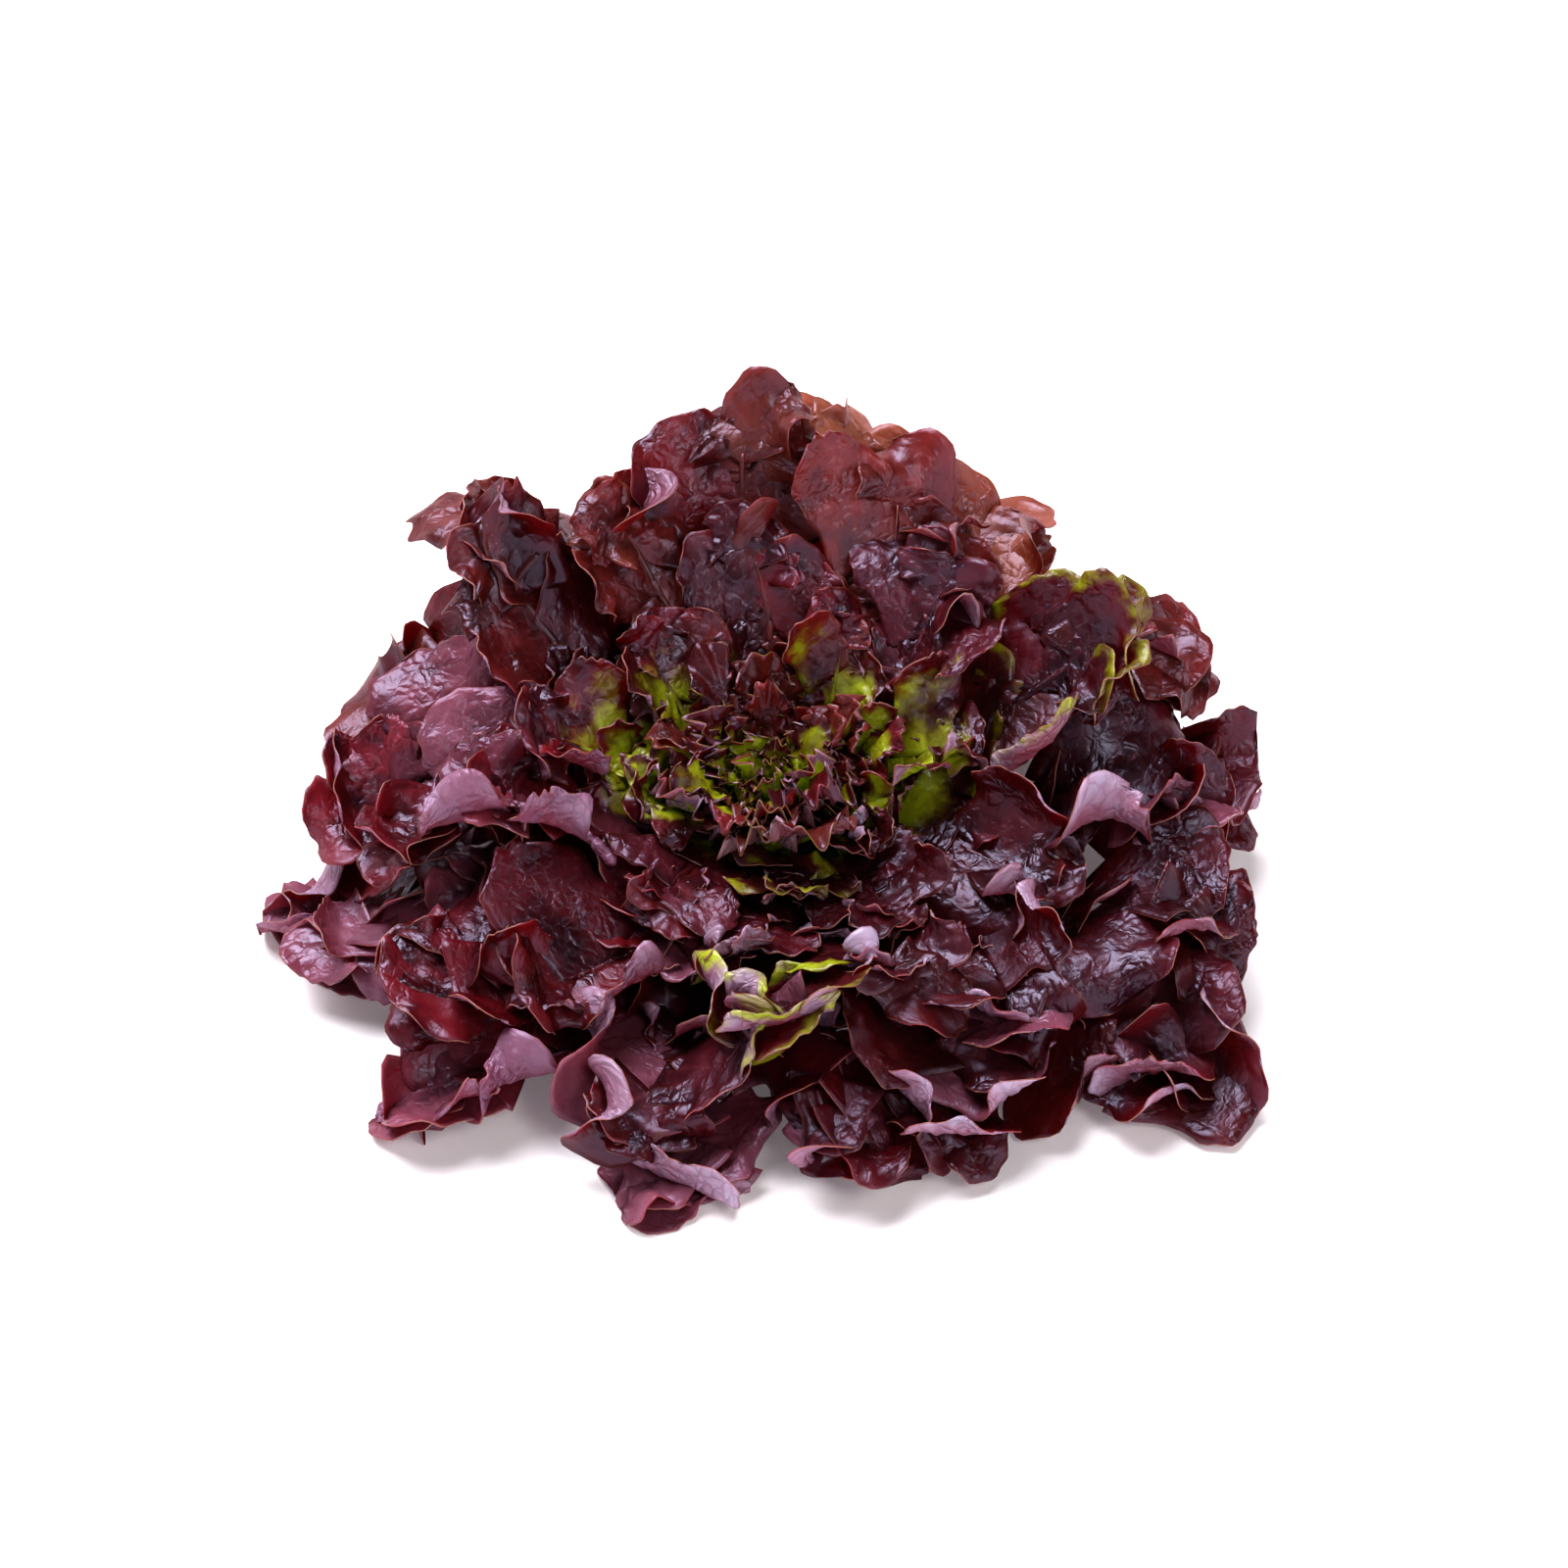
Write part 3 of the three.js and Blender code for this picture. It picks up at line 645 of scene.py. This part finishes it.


# How green a leaf is at each point, in soft patches, and how brown or violet its red is, with the brown and
# orange also carrying painted glow at the back and the violet painted sheen to the left
def makeToneGroup():
    group = bpy.data.node_groups.new("leafTone", "ShaderNodeTree")
    for name in ("Green", "Tone", "Mottle"):
        group.interface.new_socket(name, in_out="INPUT", socket_type="NodeSocketFloat")
    for name in ("Greened", "BrownAndPaintedGlow", "PaintedGlowOrange", "VioletAndPaintedSheen"):
        group.interface.new_socket(name, in_out="OUTPUT", socket_type="NodeSocketFloat")
    b = Builder(group)
    given = b.node("NodeGroupInput")
    put = b.node("NodeGroupOutput")
    patched = b.math("MULTIPLY", b.math("SUBTRACT", given.outputs["Mottle"], 0.5), 1.5)
    b.join(b.ramp(b.math("ADD", given.outputs["Green"], patched), 0.25, 0.75), put.inputs["Greened"])
    b.join(b.ramp(given.outputs["Tone"], 0.0, 1.0), put.inputs["BrownAndPaintedGlow"])
    b.join(b.ramp(given.outputs["Tone"], 1.0, 2.0), put.inputs["PaintedGlowOrange"])
    b.join(b.ramp(given.outputs["Tone"], -1.0, 0.0, 1.0, 0.0), put.inputs["VioletAndPaintedSheen"])
    return group


skinGroup = makeSkinGroup()
toneGroup = makeToneGroup()


# An empty material, and what adds its nodes
def newMaterial(name):
    material = bpy.data.materials.new(name)
    material.use_nodes = True
    material.node_tree.nodes.clear()
    return material, Builder(material.node_tree)


# Ends a material: the surface and the light that comes through it
def finishLeaf(b, colour, through, share, roughness, height, strength):
    surface = b.node("ShaderNodeBsdfPrincipled")
    b.fill(surface.inputs["Base Color"], colour)
    b.fill(surface.inputs["Roughness"], roughness)
    surface.inputs["Specular IOR Level"].default_value = 1.0
    surface.inputs["Specular Tint"].default_value = leafColours["sheen"]
    bump = b.node("ShaderNodeBump")
    bump.inputs["Strength"].default_value = strength
    bump.inputs["Distance"].default_value = 0.0008
    b.join(height, bump.inputs["Height"])
    b.join(bump.outputs["Normal"], surface.inputs["Normal"])
    glow = b.node("ShaderNodeBsdfTranslucent")
    b.fill(glow.inputs["Color"], through)
    both = b.node("ShaderNodeMixShader")
    both.inputs["Fac"].default_value = share
    b.join(surface.outputs["BSDF"], both.inputs[1])
    b.join(glow.outputs["BSDF"], both.inputs[2])
    out = b.node("ShaderNodeOutputMaterial")
    b.join(both.outputs["Shader"], out.inputs["Surface"])


# The skin's patterns in a material, laid over each leaf's flat plan
def skinOf(b, netScale):
    skin = b.node("ShaderNodeGroup")
    skin.node_tree = skinGroup
    plan = b.node("ShaderNodeUVMap", uv_map="leafPlan").outputs["UV"]
    b.join(plan, skin.inputs["Plan"])
    skin.inputs["Net Scale"].default_value = netScale
    return skin


# The leaf's green and its tone in a material, from what its points hold
def toneOf(b, mottle):
    tone = b.node("ShaderNodeGroup")
    tone.node_tree = toneGroup
    b.join(b.attribute("green"), tone.inputs["Green"])
    b.join(b.attribute("tone"), tone.inputs["Tone"])
    b.join(mottle, tone.inputs["Mottle"])
    return tone


# The glossy upper face: green where it was shaded, burgundy where the sun reached, bronze and orange at the
# back as painted glow, violet to the left as painted sheen, and darker in front on the right as painted shade
def makeUpper():
    material, b = newMaterial("upperLeaf")
    c = leafColours
    skin = skinOf(b, skinScales["net"])
    mottle = skin.outputs["Mottle"]
    tone = toneOf(b, mottle)
    vein = b.attribute("vein")
    edge = b.attribute("edge")
    shade = b.attribute("shade")
    red = b.mix(b.ramp(mottle, 0.35, 0.7), c["dark"], c["burgundy"])
    # The shade attribute is each lobe's own lightness, darkened in front on the right as painted shade
    lightness = b.math("MULTIPLY", shade, shade)
    red = b.mix(b.math("MULTIPLY", lightness, b.ramp(mottle, 0.3, 0.65)), red, c["wine"])
    # Painted glow: bronze and orange from the tone, which also holds each lobe's own tone
    brownAndPaintedGlow = b.math("MULTIPLY", tone.outputs["BrownAndPaintedGlow"], b.ramp(mottle, 0.25, 0.75, 0.4, 1.0))
    red = b.mix(brownAndPaintedGlow, red, c["bronzeAndPaintedGlow"])
    paintedGlowOrange = b.math("MULTIPLY", tone.outputs["PaintedGlowOrange"], b.ramp(mottle, 0.3, 0.6, 0.3, 1.0))
    red = b.mix(paintedGlowOrange, red, c["paintedGlowOrange"])
    # Painted sheen: violet from the tone, which also holds the pale tone of single lobes
    violetAndPaintedSheen = b.math("MULTIPLY", tone.outputs["VioletAndPaintedSheen"], b.ramp(mottle, 0.3, 0.7, 0.5, 0.9))
    red = b.mix(violetAndPaintedSheen, red, c["violetAndPaintedSheen"])
    red = b.mix(b.math("MULTIPLY", b.ramp(vein, 0.4, 1.0), 0.16), red, c["ribPink"])
    lit = b.mix(b.ramp(mottle, 0.3, 0.7), c["olive"], c["leafGreen"])
    lit = b.mix(b.math("MULTIPLY", b.ramp(vein, 0.3, 1.0), 0.5), lit, c["paleGreen"])
    colour = b.mix(tone.outputs["Greened"], red, lit)
    colour = b.mix(b.math("MULTIPLY", skin.outputs["Specks"], 0.55), colour, c["underRose"])
    colour = b.mix(b.ramp(edge, 0.0, 0.05, 0.45, 0.0), colour, c["tanRim"])
    through = b.mix(tone.outputs["Greened"], c["throughRed"], c["throughGreen"])
    roughness = b.ramp(mottle, 0.3, 0.75, 0.30, 0.46)
    finishLeaf(b, colour, through, 0.32, roughness, skin.outputs["Height"], 0.45)
    return material


# The matt, paler underside with its raised veins
def makeUnder():
    material, b = newMaterial("underLeaf")
    c = leafColours
    skin = skinOf(b, skinScales["net"])
    mottle = skin.outputs["Mottle"]
    tone = toneOf(b, mottle)
    vein = b.attribute("vein")
    edge = b.attribute("edge")
    mauve = b.mix(b.ramp(mottle, 0.35, 0.65), c["underMauve"], c["underRose"])
    mauve = b.mix(b.math("MULTIPLY", b.ramp(edge, 0.1, 0.9), 0.45), mauve, c["underWine"])
    # The shade attribute, each lobe's own lightness with painted shade in front on the right, deepens it to
    # wine
    mauve = b.mix(b.math("MULTIPLY", b.attribute("shade"), 0.85), mauve, c["underWine"])
    # Painted glow: the bronze tone browns the underside, beside the leaf's own tone
    mauve = b.mix(b.math("MULTIPLY", tone.outputs["BrownAndPaintedGlow"], 0.7), mauve, c["underBrown"])
    mauve = b.mix(b.math("MULTIPLY", b.ramp(vein, 0.35, 0.9), 0.45), mauve, c["ribPink"])
    colour = b.mix(tone.outputs["Greened"], mauve, c["leafGreen"])
    colour = b.mix(b.math("MULTIPLY", skin.outputs["Net"], 0.3), colour, c["underWine"])
    colour = b.mix(b.ramp(edge, 0.0, 0.05, 0.6, 0.0), colour, c["underWine"])
    through = b.mix(tone.outputs["Greened"], c["throughRed"], c["throughGreen"])
    height = b.math("ADD", skin.outputs["Height"], b.math("MULTIPLY", vein, 0.8))
    finishLeaf(b, colour, through, 0.28, 0.42, height, 0.9)
    return material


# The thin rim of a blade: a pale line, wine red in places
def makeRim(name, pale):
    material, b = newMaterial(name)
    c = leafColours
    skin = skinOf(b, skinScales["rimNet"])
    tone = toneOf(b, skin.outputs["Mottle"])
    colour = b.mix(b.ramp(skin.outputs["Mottle"], 0.45, 0.65), c[pale], c["wine"])
    colour = b.mix(tone.outputs["Greened"], colour, c["olive"])
    finishLeaf(b, colour, c["throughRed"], 0.15, 0.5, skin.outputs["Height"], 0.2)
    return material


leafMaterials = [makeUpper(), makeUnder(), makeRim("leafRim", "tanRim")]
heartMaterials = leafMaterials[:2] + [makeRim("heartRim", "olive")]
print("leaf materials made")


# How the large leaves' colours lie round the head, in mm from its middle: green reaches furthest sideways,
# bronze grows to the back as painted glow of light through the leaves, violet to the left as painted sheen,
# and lobes in front on the right are darkened as painted shade
leafTints = {
    "greenStretch": {"sideways": 0.8, "back": 1.3, "front": 2.0},
    "greenDrawn": [0.65, 1],
    "rimOver": [0.1, 0.9],
    "paintedGlowAt": 70,
    "paintedGlowDrawn": [0.5, 1],
    "paintedSheenOver": [20, 110],
    "paintedSheenDrawn": [0, 0.7],
    "lobeTone": 0.25,
    "paleLobes": 0.12,
    "paintedShade": 0.7,
    "paintedShadeOverX": [-50, 40],
    "paintedShadeOverY": [50, -20],
}
leafNodes = sorted(name for name in nodes if "_leaf_" in name)


# Gives every blade of a large leaf its green, its tone from violet to orange and its lightness: the tone
# carries painted glow to the back and painted sheen to the left, the lightness painted shade in front on the
# right
def tintLeaf(blades, age, settings, rng):
    w = leafTints
    mean = blades[0]["points"].reshape(-1, 3).mean(0) / millimetre
    # Painted glow: bronze grows with how far back the leaf lies
    toBack = float(np.clip(mean[1] / w["paintedGlowAt"], 0, 1))
    bronzeAndPaintedGlow = max(toBack * rng.uniform(*w["paintedGlowDrawn"]), settings["bronzeAndPaintedGlow"])
    # Painted sheen: violet grows with how far left the leaf lies
    toLeft = float(smoothStep(*w["paintedSheenOver"], -mean[0]))
    violetAndPaintedSheen = max(toLeft * rng.uniform(*w["paintedSheenDrawn"]), settings["violetAndPaintedSheen"])
    shade = rng.random()
    # Painted shade: lobes in front on the right are made darker
    lit = 1 - w["paintedShade"] * smoothStep(*w["paintedShadeOverX"], mean[0]) * smoothStep(*w["paintedShadeOverY"], mean[1])
    for index, blade in enumerate(blades):
        x, y = blade["points"][..., 0] / millimetre, blade["points"][..., 1] / millimetre
        stretched = y * np.where(y < 0, w["greenStretch"]["front"], w["greenStretch"]["back"])
        away = np.hypot(x * w["greenStretch"]["sideways"], stretched)
        inside = 0.3 + 0.7 * smoothStep(0, 0.7, blade["edge"])
        green = (1 - smoothStep(*settings["greenReach"], away)) * inside * rng.uniform(*w["greenDrawn"])
        rim = settings["greenLobes"].get(index - 1, settings["greenRim"])
        blade["green"] = np.maximum(green, rim * (1 - smoothStep(*w["rimOver"], blade["edge"])))
        tone = bronzeAndPaintedGlow - violetAndPaintedSheen * (1 - bronzeAndPaintedGlow) + rng.uniform(-w["lobeTone"], w["lobeTone"])
        if rng.random() < w["paleLobes"] and mean[1] < 0 and age != "inner":
            tone = -1
        blade["tone"] = np.full(away.shape, tone)
        lightness = np.clip(0.6 * shade + 0.6 * rng.random() - 0.1, 0, 1) * lit
        blade["shade"] = np.full(away.shape, lightness)


# The large leaves, each over its own solid, from the innermost outwards
def growLargeLeaves():
    plain = {"greenRim": 0, "violetAndPaintedSheen": 0, "bronzeAndPaintedGlow": 0, "tipTurn": 0, "broad": {}, "greenLobes": {}}
    for order, name in enumerate(leafNodes):
        age = name.split("_")[0]
        settings = plain | leafSettings[age] | leafAccents.get(name, {})
        blades = growLeaf(name, 300 + order, settings)
        tintLeaf(blades, age, settings, drawer(700 + order))
        thickest = max(float(blade["thick"].max()) for blade in blades)
        piece = bladeObject("fine_" + name, blades, thickest)
        for material in leafMaterials:
            piece.data.materials.append(material)
        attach(piece, "root")
        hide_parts(name)


growLargeLeaves()
print("large leaves grown:", len(leafNodes))

# The heart: small frilled leaves by the same turn as the large ones, inside the heart's own solid
heartLeaves = {
    "count": 84,
    "linesAlong": 25,
    "linesAcross": 21,
    "firstAzimuth": 262,
    "turn": 137.508,
    "turnDrawn": [-22, 22],
    "rootRadius": [12, 1.5],
    "rootHeight": [33, 40],
    "length": [46, 12],
    "width": [29, 9],
    "lean": [6, 80],
    "leanDrawn": [-15, 15],
    "mostLean": 86,
    "lengthDrawn": [0.6, 1.2],
    "widthDrawn": [0.8, 1.25],
    "tipCurl": [-70, 25],
    "steeper": [0, 10, 20, 30, 40, 50],
    "lobeDepth": 0.4,
    "redTip": [0.04, 0.30],
    "frill": 3.4,
    "thickness": 0.28,
}


# A value between two others, at a share of the way
def mixed(pair, share):
    return pair[0] + (pair[1] - pair[0]) * share


# One small leaf of the heart, counted inwards, as much steeper than its fellows as it needs to be
def growHeartLeaf(k, steeper):
    s = heartLeaves
    rng = drawer(9100 + k)
    t = k / (s["count"] - 1)
    n, m = s["linesAlong"], s["linesAcross"]
    a, c = np.meshgrid(np.linspace(0, 1, n), np.linspace(-1, 1, m), indexing="ij")
    length = mixed(s["length"], t) * rng.uniform(*s["lengthDrawn"])
    width = mixed(s["width"], t) * rng.uniform(*s["widthDrawn"])
    curl = rng.uniform(*s["tipCurl"])
    lean = mixed(s["lean"], t) + steeper + rng.uniform(*s["leanDrawn"])
    slope = np.radians(np.minimum(lean, s["mostLean"]) + curl * a[:, 0] ** 2)
    stepLength = length / (n - 1)
    out = np.concatenate([[0], np.cumsum(np.cos(slope[1:]) * stepLength)])
    up = np.concatenate([[0], np.cumsum(np.sin(slope[1:]) * stepLength)])
    outline = smoothStep(-0.3, 0.75, a) * np.sqrt(np.clip(1 - ((a - 0.62) / 0.42) ** 2, 0, 1) * 0.85 + 0.15)
    lobed = np.abs(np.sin(a * math.pi * rng.uniform(2.5, 4) + 3 * rng.random() + (c > 0) * 1.1))
    outline = outline * (1 - s["lobeDepth"] * (1 - lobed**0.6) * smoothStep(0.25, 0.5, a))
    back = 0.16 * (1 - np.sqrt(1 - 0.97 * c**2)) * smoothStep(0.6, 1, a)
    across = c * outline * width / 2
    along = (a - back) * length
    toEdge = np.minimum((1 - np.abs(c)) * outline * width / 2, (1 - a) * length)
    phase = 6 * rng.random(3)
    angle = np.arctan2(across, along - 0.6 * length)
    frill = np.sin(rng.uniform(5, 9) * angle + phase[0])
    frill = frill + 0.75 * np.sin(rng.uniform(13, 20) * angle + phase[1])
    frill *= np.exp(-toEdge / (0.15 * length)) * smoothStep(0.2, 0.6, a) * rng.uniform(0.6, 1.3)
    cup = (across / (0.5 * width)) ** 2 * rng.uniform(-0.1, 0.26) * width * a
    blister = puffedCells(across, along, 4.5, rng) * smoothStep(0, 3, toEdge) * 0.6
    twist = rng.uniform(-0.35, 0.35) * across * a
    lift = cup + frill * s["frill"] * (0.4 + 0.6 * (1 - t)) + blister + twist
    rowAt = (a - back) * (n - 1)
    low = np.floor(np.clip(rowAt, 0, n - 2)).astype(int)
    share = rowAt - low
    slopes = slope[low] + (slope[low + 1] - slope[low]) * share
    radius = mixed(s["rootRadius"], t) + out[low] + (out[low + 1] - out[low]) * share - lift * np.sin(slopes)
    height = mixed(s["rootHeight"], t) + up[low] + (up[low + 1] - up[low]) * share + lift * np.cos(slopes)
    turn = math.radians(s["firstAzimuth"] + s["turn"] * (len(leafNodes) + k) + rng.uniform(*s["turnDrawn"]))
    x = radius * math.cos(turn) - across * math.sin(turn)
    y = radius * math.sin(turn) + across * math.cos(turn)
    points = np.stack([x, y, height], -1) * millimetre
    vein = np.exp(-((across / 1.1) ** 2)) * (1 - 0.7 * a)
    redWidth = rng.uniform(*s["redTip"]) * (1.4 - 1.1 * t) * length
    redder = 2.2 * smoothStep(4, 30, y) + 2.5 * smoothStep(10, 32, -y) * rng.uniform(0.4, 1)
    redWidth = redWidth * (1 + redder)
    tipRed = smoothStep(redWidth, 0.1 * redWidth, toEdge) * smoothStep(0.25, 0.7, a)
    return {
        "points": points,
        "plan": np.stack([across + 60 * k, along], -1),
        "thick": np.full(a.shape, s["thickness"]) + 0.8 * vein * (1 - a),
        "edge": np.clip(toEdge / 10, 0, 1),
        "vein": vein,
        "green": rng.uniform(0.6, 1.05) - 1.05 * tipRed - 0.8 * smoothStep(16, 30, -y),
        "tone": np.full(a.shape, 0.7 * rng.random()),
        "shade": np.full(a.shape, rng.random()),
    }


# All the heart's leaves as one piece; a leaf that crosses a large one is grown again, steeper
def growHeart():
    grown = []
    around = [tree for owner, _, _, tree in grownBlades if owner.startswith("inner")]
    for k in range(heartLeaves["count"]):
        for steeper in heartLeaves["steeper"]:
            leaf = growHeartLeaf(k, steeper)
            tree = treeOf(leaf["points"])
            if not any(tree.overlap(other) for other in around):
                break
        grown.append(leaf)
    piece = bladeObject("fine_heart", grown, max(float(leaf["thick"].max()) for leaf in grown))
    for material in heartMaterials:
        piece.data.materials.append(material)
    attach(piece, "root")
    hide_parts("heart")


growHeart()
print("heart grown:", heartLeaves["count"], "leaves")

# The stub of the stem: a closed round body over the solid's own profile, ribbed by the feet of cut leaves.
# The profile has radius and height in mm, from the middle of the cut face to the top
stemShape = {
    "around": 96,
    "rings": 44,
    "profile": [
        [0, 0.5],
        [6, 0.3],
        [13.2, 0.05],
        [14.6, 1.4],
        [15.2, 3.5],
        [15.2, 6.2],
        [13.0, 14.5],
        [10.3, 24],
        [7.8, 32],
        [0, 32.6],
    ],
    "ribs": 9,
    "ribDepth": 0.45,
    "leafFeet": 1.1,
    "cream": (0.62, 0.50, 0.30, 1),
    "rust": (0.30, 0.12, 0.045, 1),
    "green": (0.42, 0.47, 0.20, 1),
    "pink": (0.46, 0.20, 0.17, 1),
}


# The cut face is cream within and rust-coloured towards its edge, and the wall is streaked green and pink
def makeStemMaterial():
    s = stemShape
    material, b = newMaterial("cutStem")
    place = b.node("ShaderNodeTexCoord").outputs["Object"]
    split = b.node("ShaderNodeSeparateXYZ")
    b.join(place, split.inputs["Vector"])
    flat = b.node("ShaderNodeVectorMath", operation="MULTIPLY")
    b.join(place, flat.inputs[0])
    flat.inputs[1].default_value = (1, 1, 0)
    away = b.node("ShaderNodeVectorMath", operation="LENGTH")
    b.join(flat.outputs["Vector"], away.inputs[0])
    stretched = b.node("ShaderNodeVectorMath", operation="MULTIPLY")
    b.join(place, stretched.inputs[0])
    stretched.inputs[1].default_value = (1, 1, 0.15)
    streaks = b.noise(stretched.outputs["Vector"], 420, 3)
    blotches = b.noise(place, 160, 4)
    uneven = b.math("ADD", b.math("MULTIPLY", blotches, 0.008), away.outputs["Value"])
    face = b.mix(b.ramp(uneven, 0.006, 0.017), s["cream"], s["rust"])
    face = b.mix(b.ramp(blotches, 0.5, 0.75, 0.0, 0.7), face, s["rust"])
    wall = b.mix(b.ramp(streaks, 0.35, 0.65), s["green"], s["cream"])
    wall = b.mix(b.ramp(split.outputs["Z"], 0.010, 0.028), wall, s["pink"])
    colour = b.mix(b.ramp(split.outputs["Z"], 0.0006, 0.0016), face, wall)
    height = b.math("ADD", streaks, b.math("MULTIPLY", blotches, 0.8))
    finishLeaf(b, colour, s["cream"], 0.08, 0.5, height, 0.6)
    return material


def growStem():
    s = stemShape
    rng = drawer(4100)
    bm = bmesh.new()
    bmesh.ops.create_uvsphere(bm, u_segments=s["around"], v_segments=s["rings"], radius=1)
    profile = np.array(s["profile"], float)
    stops = np.concatenate([[0], np.cumsum(np.linalg.norm(np.diff(profile, axis=0), axis=1))])
    phases = 6 * rng.random(3)
    for vert in bm.verts:
        share = math.acos(max(-1, min(1, -vert.co.z))) / math.pi * stops[-1]
        radius = np.interp(share, stops, profile[:, 0])
        height = np.interp(share, stops, profile[:, 1])
        turn = math.atan2(vert.co.y, vert.co.x)
        ribbed = math.sin(s["ribs"] * turn + phases[0] + 0.12 * height)
        ribbed += 0.5 * math.sin(5 * turn + phases[1])
        foot = max(0, math.sin(3 * turn + 0.45 * height + phases[2])) ** 3
        onWall = min(1, height / 3) * min(1, radius / 8)
        radius -= (s["ribDepth"] * (1.5 + ribbed) * 0.5 + s["leafFeet"] * foot * 0.5) * onWall
        vert.co = Vector((radius * math.cos(turn), radius * math.sin(turn), height)) * millimetre
    bmesh.ops.recalc_face_normals(bm, faces=bm.faces)
    mesh = bpy.data.meshes.new("fine_stem")
    bm.to_mesh(mesh)
    bm.free()
    mesh.polygons.foreach_set("use_smooth", [True] * len(mesh.polygons))
    piece = bpy.data.objects.new("fine_stem", mesh)
    bpy.context.scene.collection.objects.link(piece)
    mesh.materials.append(makeStemMaterial())
    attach(piece, "root")
    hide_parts("stem")


growStem()
print("stem made")

# The plain stage in metres, and the camera: it looks down by its elevation, at a place in pixels right of and
# above the middle of the stem's cut face
stageSettings = {
    "floorSize": 8.0,
    "rise": 2.0,
    "risesOver": [1.8, 4.0],
    "floorColour": (0.82, 0.805, 0.81, 1),
    "floorGlowColour": (1, 0.97, 0.98, 1),
    "floorGlow": 0.08,
    "air": 0.02,
    "cameraDistance": 1.1,
    "lens": 87,
    "sensor": 36,
    "elevation": 40,
    "pixel": 0.000284,
    "aimedAt": [10, 133],
}


# Plain white that glows a little, so that it stays pale under the leaves
def makeFloorMaterial():
    s = stageSettings
    material, b = newMaterial("floorWhite")
    surface = b.node("ShaderNodeBsdfPrincipled")
    surface.inputs["Base Color"].default_value = s["floorColour"]
    surface.inputs["Roughness"].default_value = 0.9
    surface.inputs["Emission Color"].default_value = s["floorGlowColour"]
    surface.inputs["Emission Strength"].default_value = s["floorGlow"]
    out = b.node("ShaderNodeOutputMaterial")
    b.join(surface.outputs["BSDF"], out.inputs["Surface"])
    return material


# A floor that turns up far away on every side
def addStage():
    s = stageSettings
    bm = bmesh.new()
    bmesh.ops.create_grid(bm, x_segments=60, y_segments=60, size=s["floorSize"] / 2)
    for vert in bm.verts:
        vert.co.z = s["rise"] * float(smoothStep(*s["risesOver"], vert.co.length))
    mesh = bpy.data.meshes.new("floor")
    bm.to_mesh(mesh)
    bm.free()
    mesh.polygons.foreach_set("use_smooth", [True] * len(mesh.polygons))
    floor = bpy.data.objects.new("floor", mesh)
    bpy.context.scene.collection.objects.link(floor)
    mesh.materials.append(makeFloorMaterial())


# Far soft lights: where from, the angle that each fills in degrees, its strength and its colour
studioLights = {
    "skyAboveBack": {"place": (-0.40, 0.45, 1.25), "angle": 46, "power": 4.5, "colour": (0.96, 0.94, 0.99)},
    "windowFront": {"place": (0.7, -1.0, 1.3), "angle": 20, "power": 0.8, "colour": (1.0, 0.97, 0.94)},
}


def addLight(name, s):
    data = bpy.data.lights.new(name, "SUN")
    data.angle = math.radians(s["angle"])
    data.energy = s["power"]
    data.color = s["colour"]
    light = bpy.data.objects.new(name, data)
    light.location = s["place"]
    light.rotation_euler = (-Vector(s["place"])).to_track_quat("-Z", "Y").to_euler()
    bpy.context.scene.collection.objects.link(light)


# The camera at the photograph's angle
def addCamera():
    s = stageSettings
    lean = math.radians(s["elevation"])
    back = Vector((0, -math.cos(lean), math.sin(lean)))
    up = Vector((0, math.sin(lean), math.cos(lean)))
    aim = Vector((1, 0, 0)) * (s["aimedAt"][0] * s["pixel"]) + up * (s["aimedAt"][1] * s["pixel"])
    data = bpy.data.cameras.new("camera")
    data.lens = s["lens"]
    data.sensor_width = s["sensor"]
    camera = bpy.data.objects.new("camera", data)
    camera.location = aim + back * s["cameraDistance"]
    camera.rotation_euler = (-back).to_track_quat("-Z", "Y").to_euler()
    bpy.context.scene.collection.objects.link(camera)
    bpy.context.scene.camera = camera


def addWorld():
    world = bpy.data.worlds.new("studio")
    bpy.context.scene.world = world
    world.use_nodes = True
    background = world.node_tree.nodes["Background"]
    background.inputs["Color"].default_value = (1, 1, 1, 1)
    background.inputs["Strength"].default_value = stageSettings["air"]


addStage()
for name, light in studioLights.items():
    addLight(name, light)
addCamera()
addWorld()
bpy.context.scene.view_settings.view_transform = "Standard"
bpy.context.scene.view_settings.look = "High Contrast"
print("stage, lights and camera set")
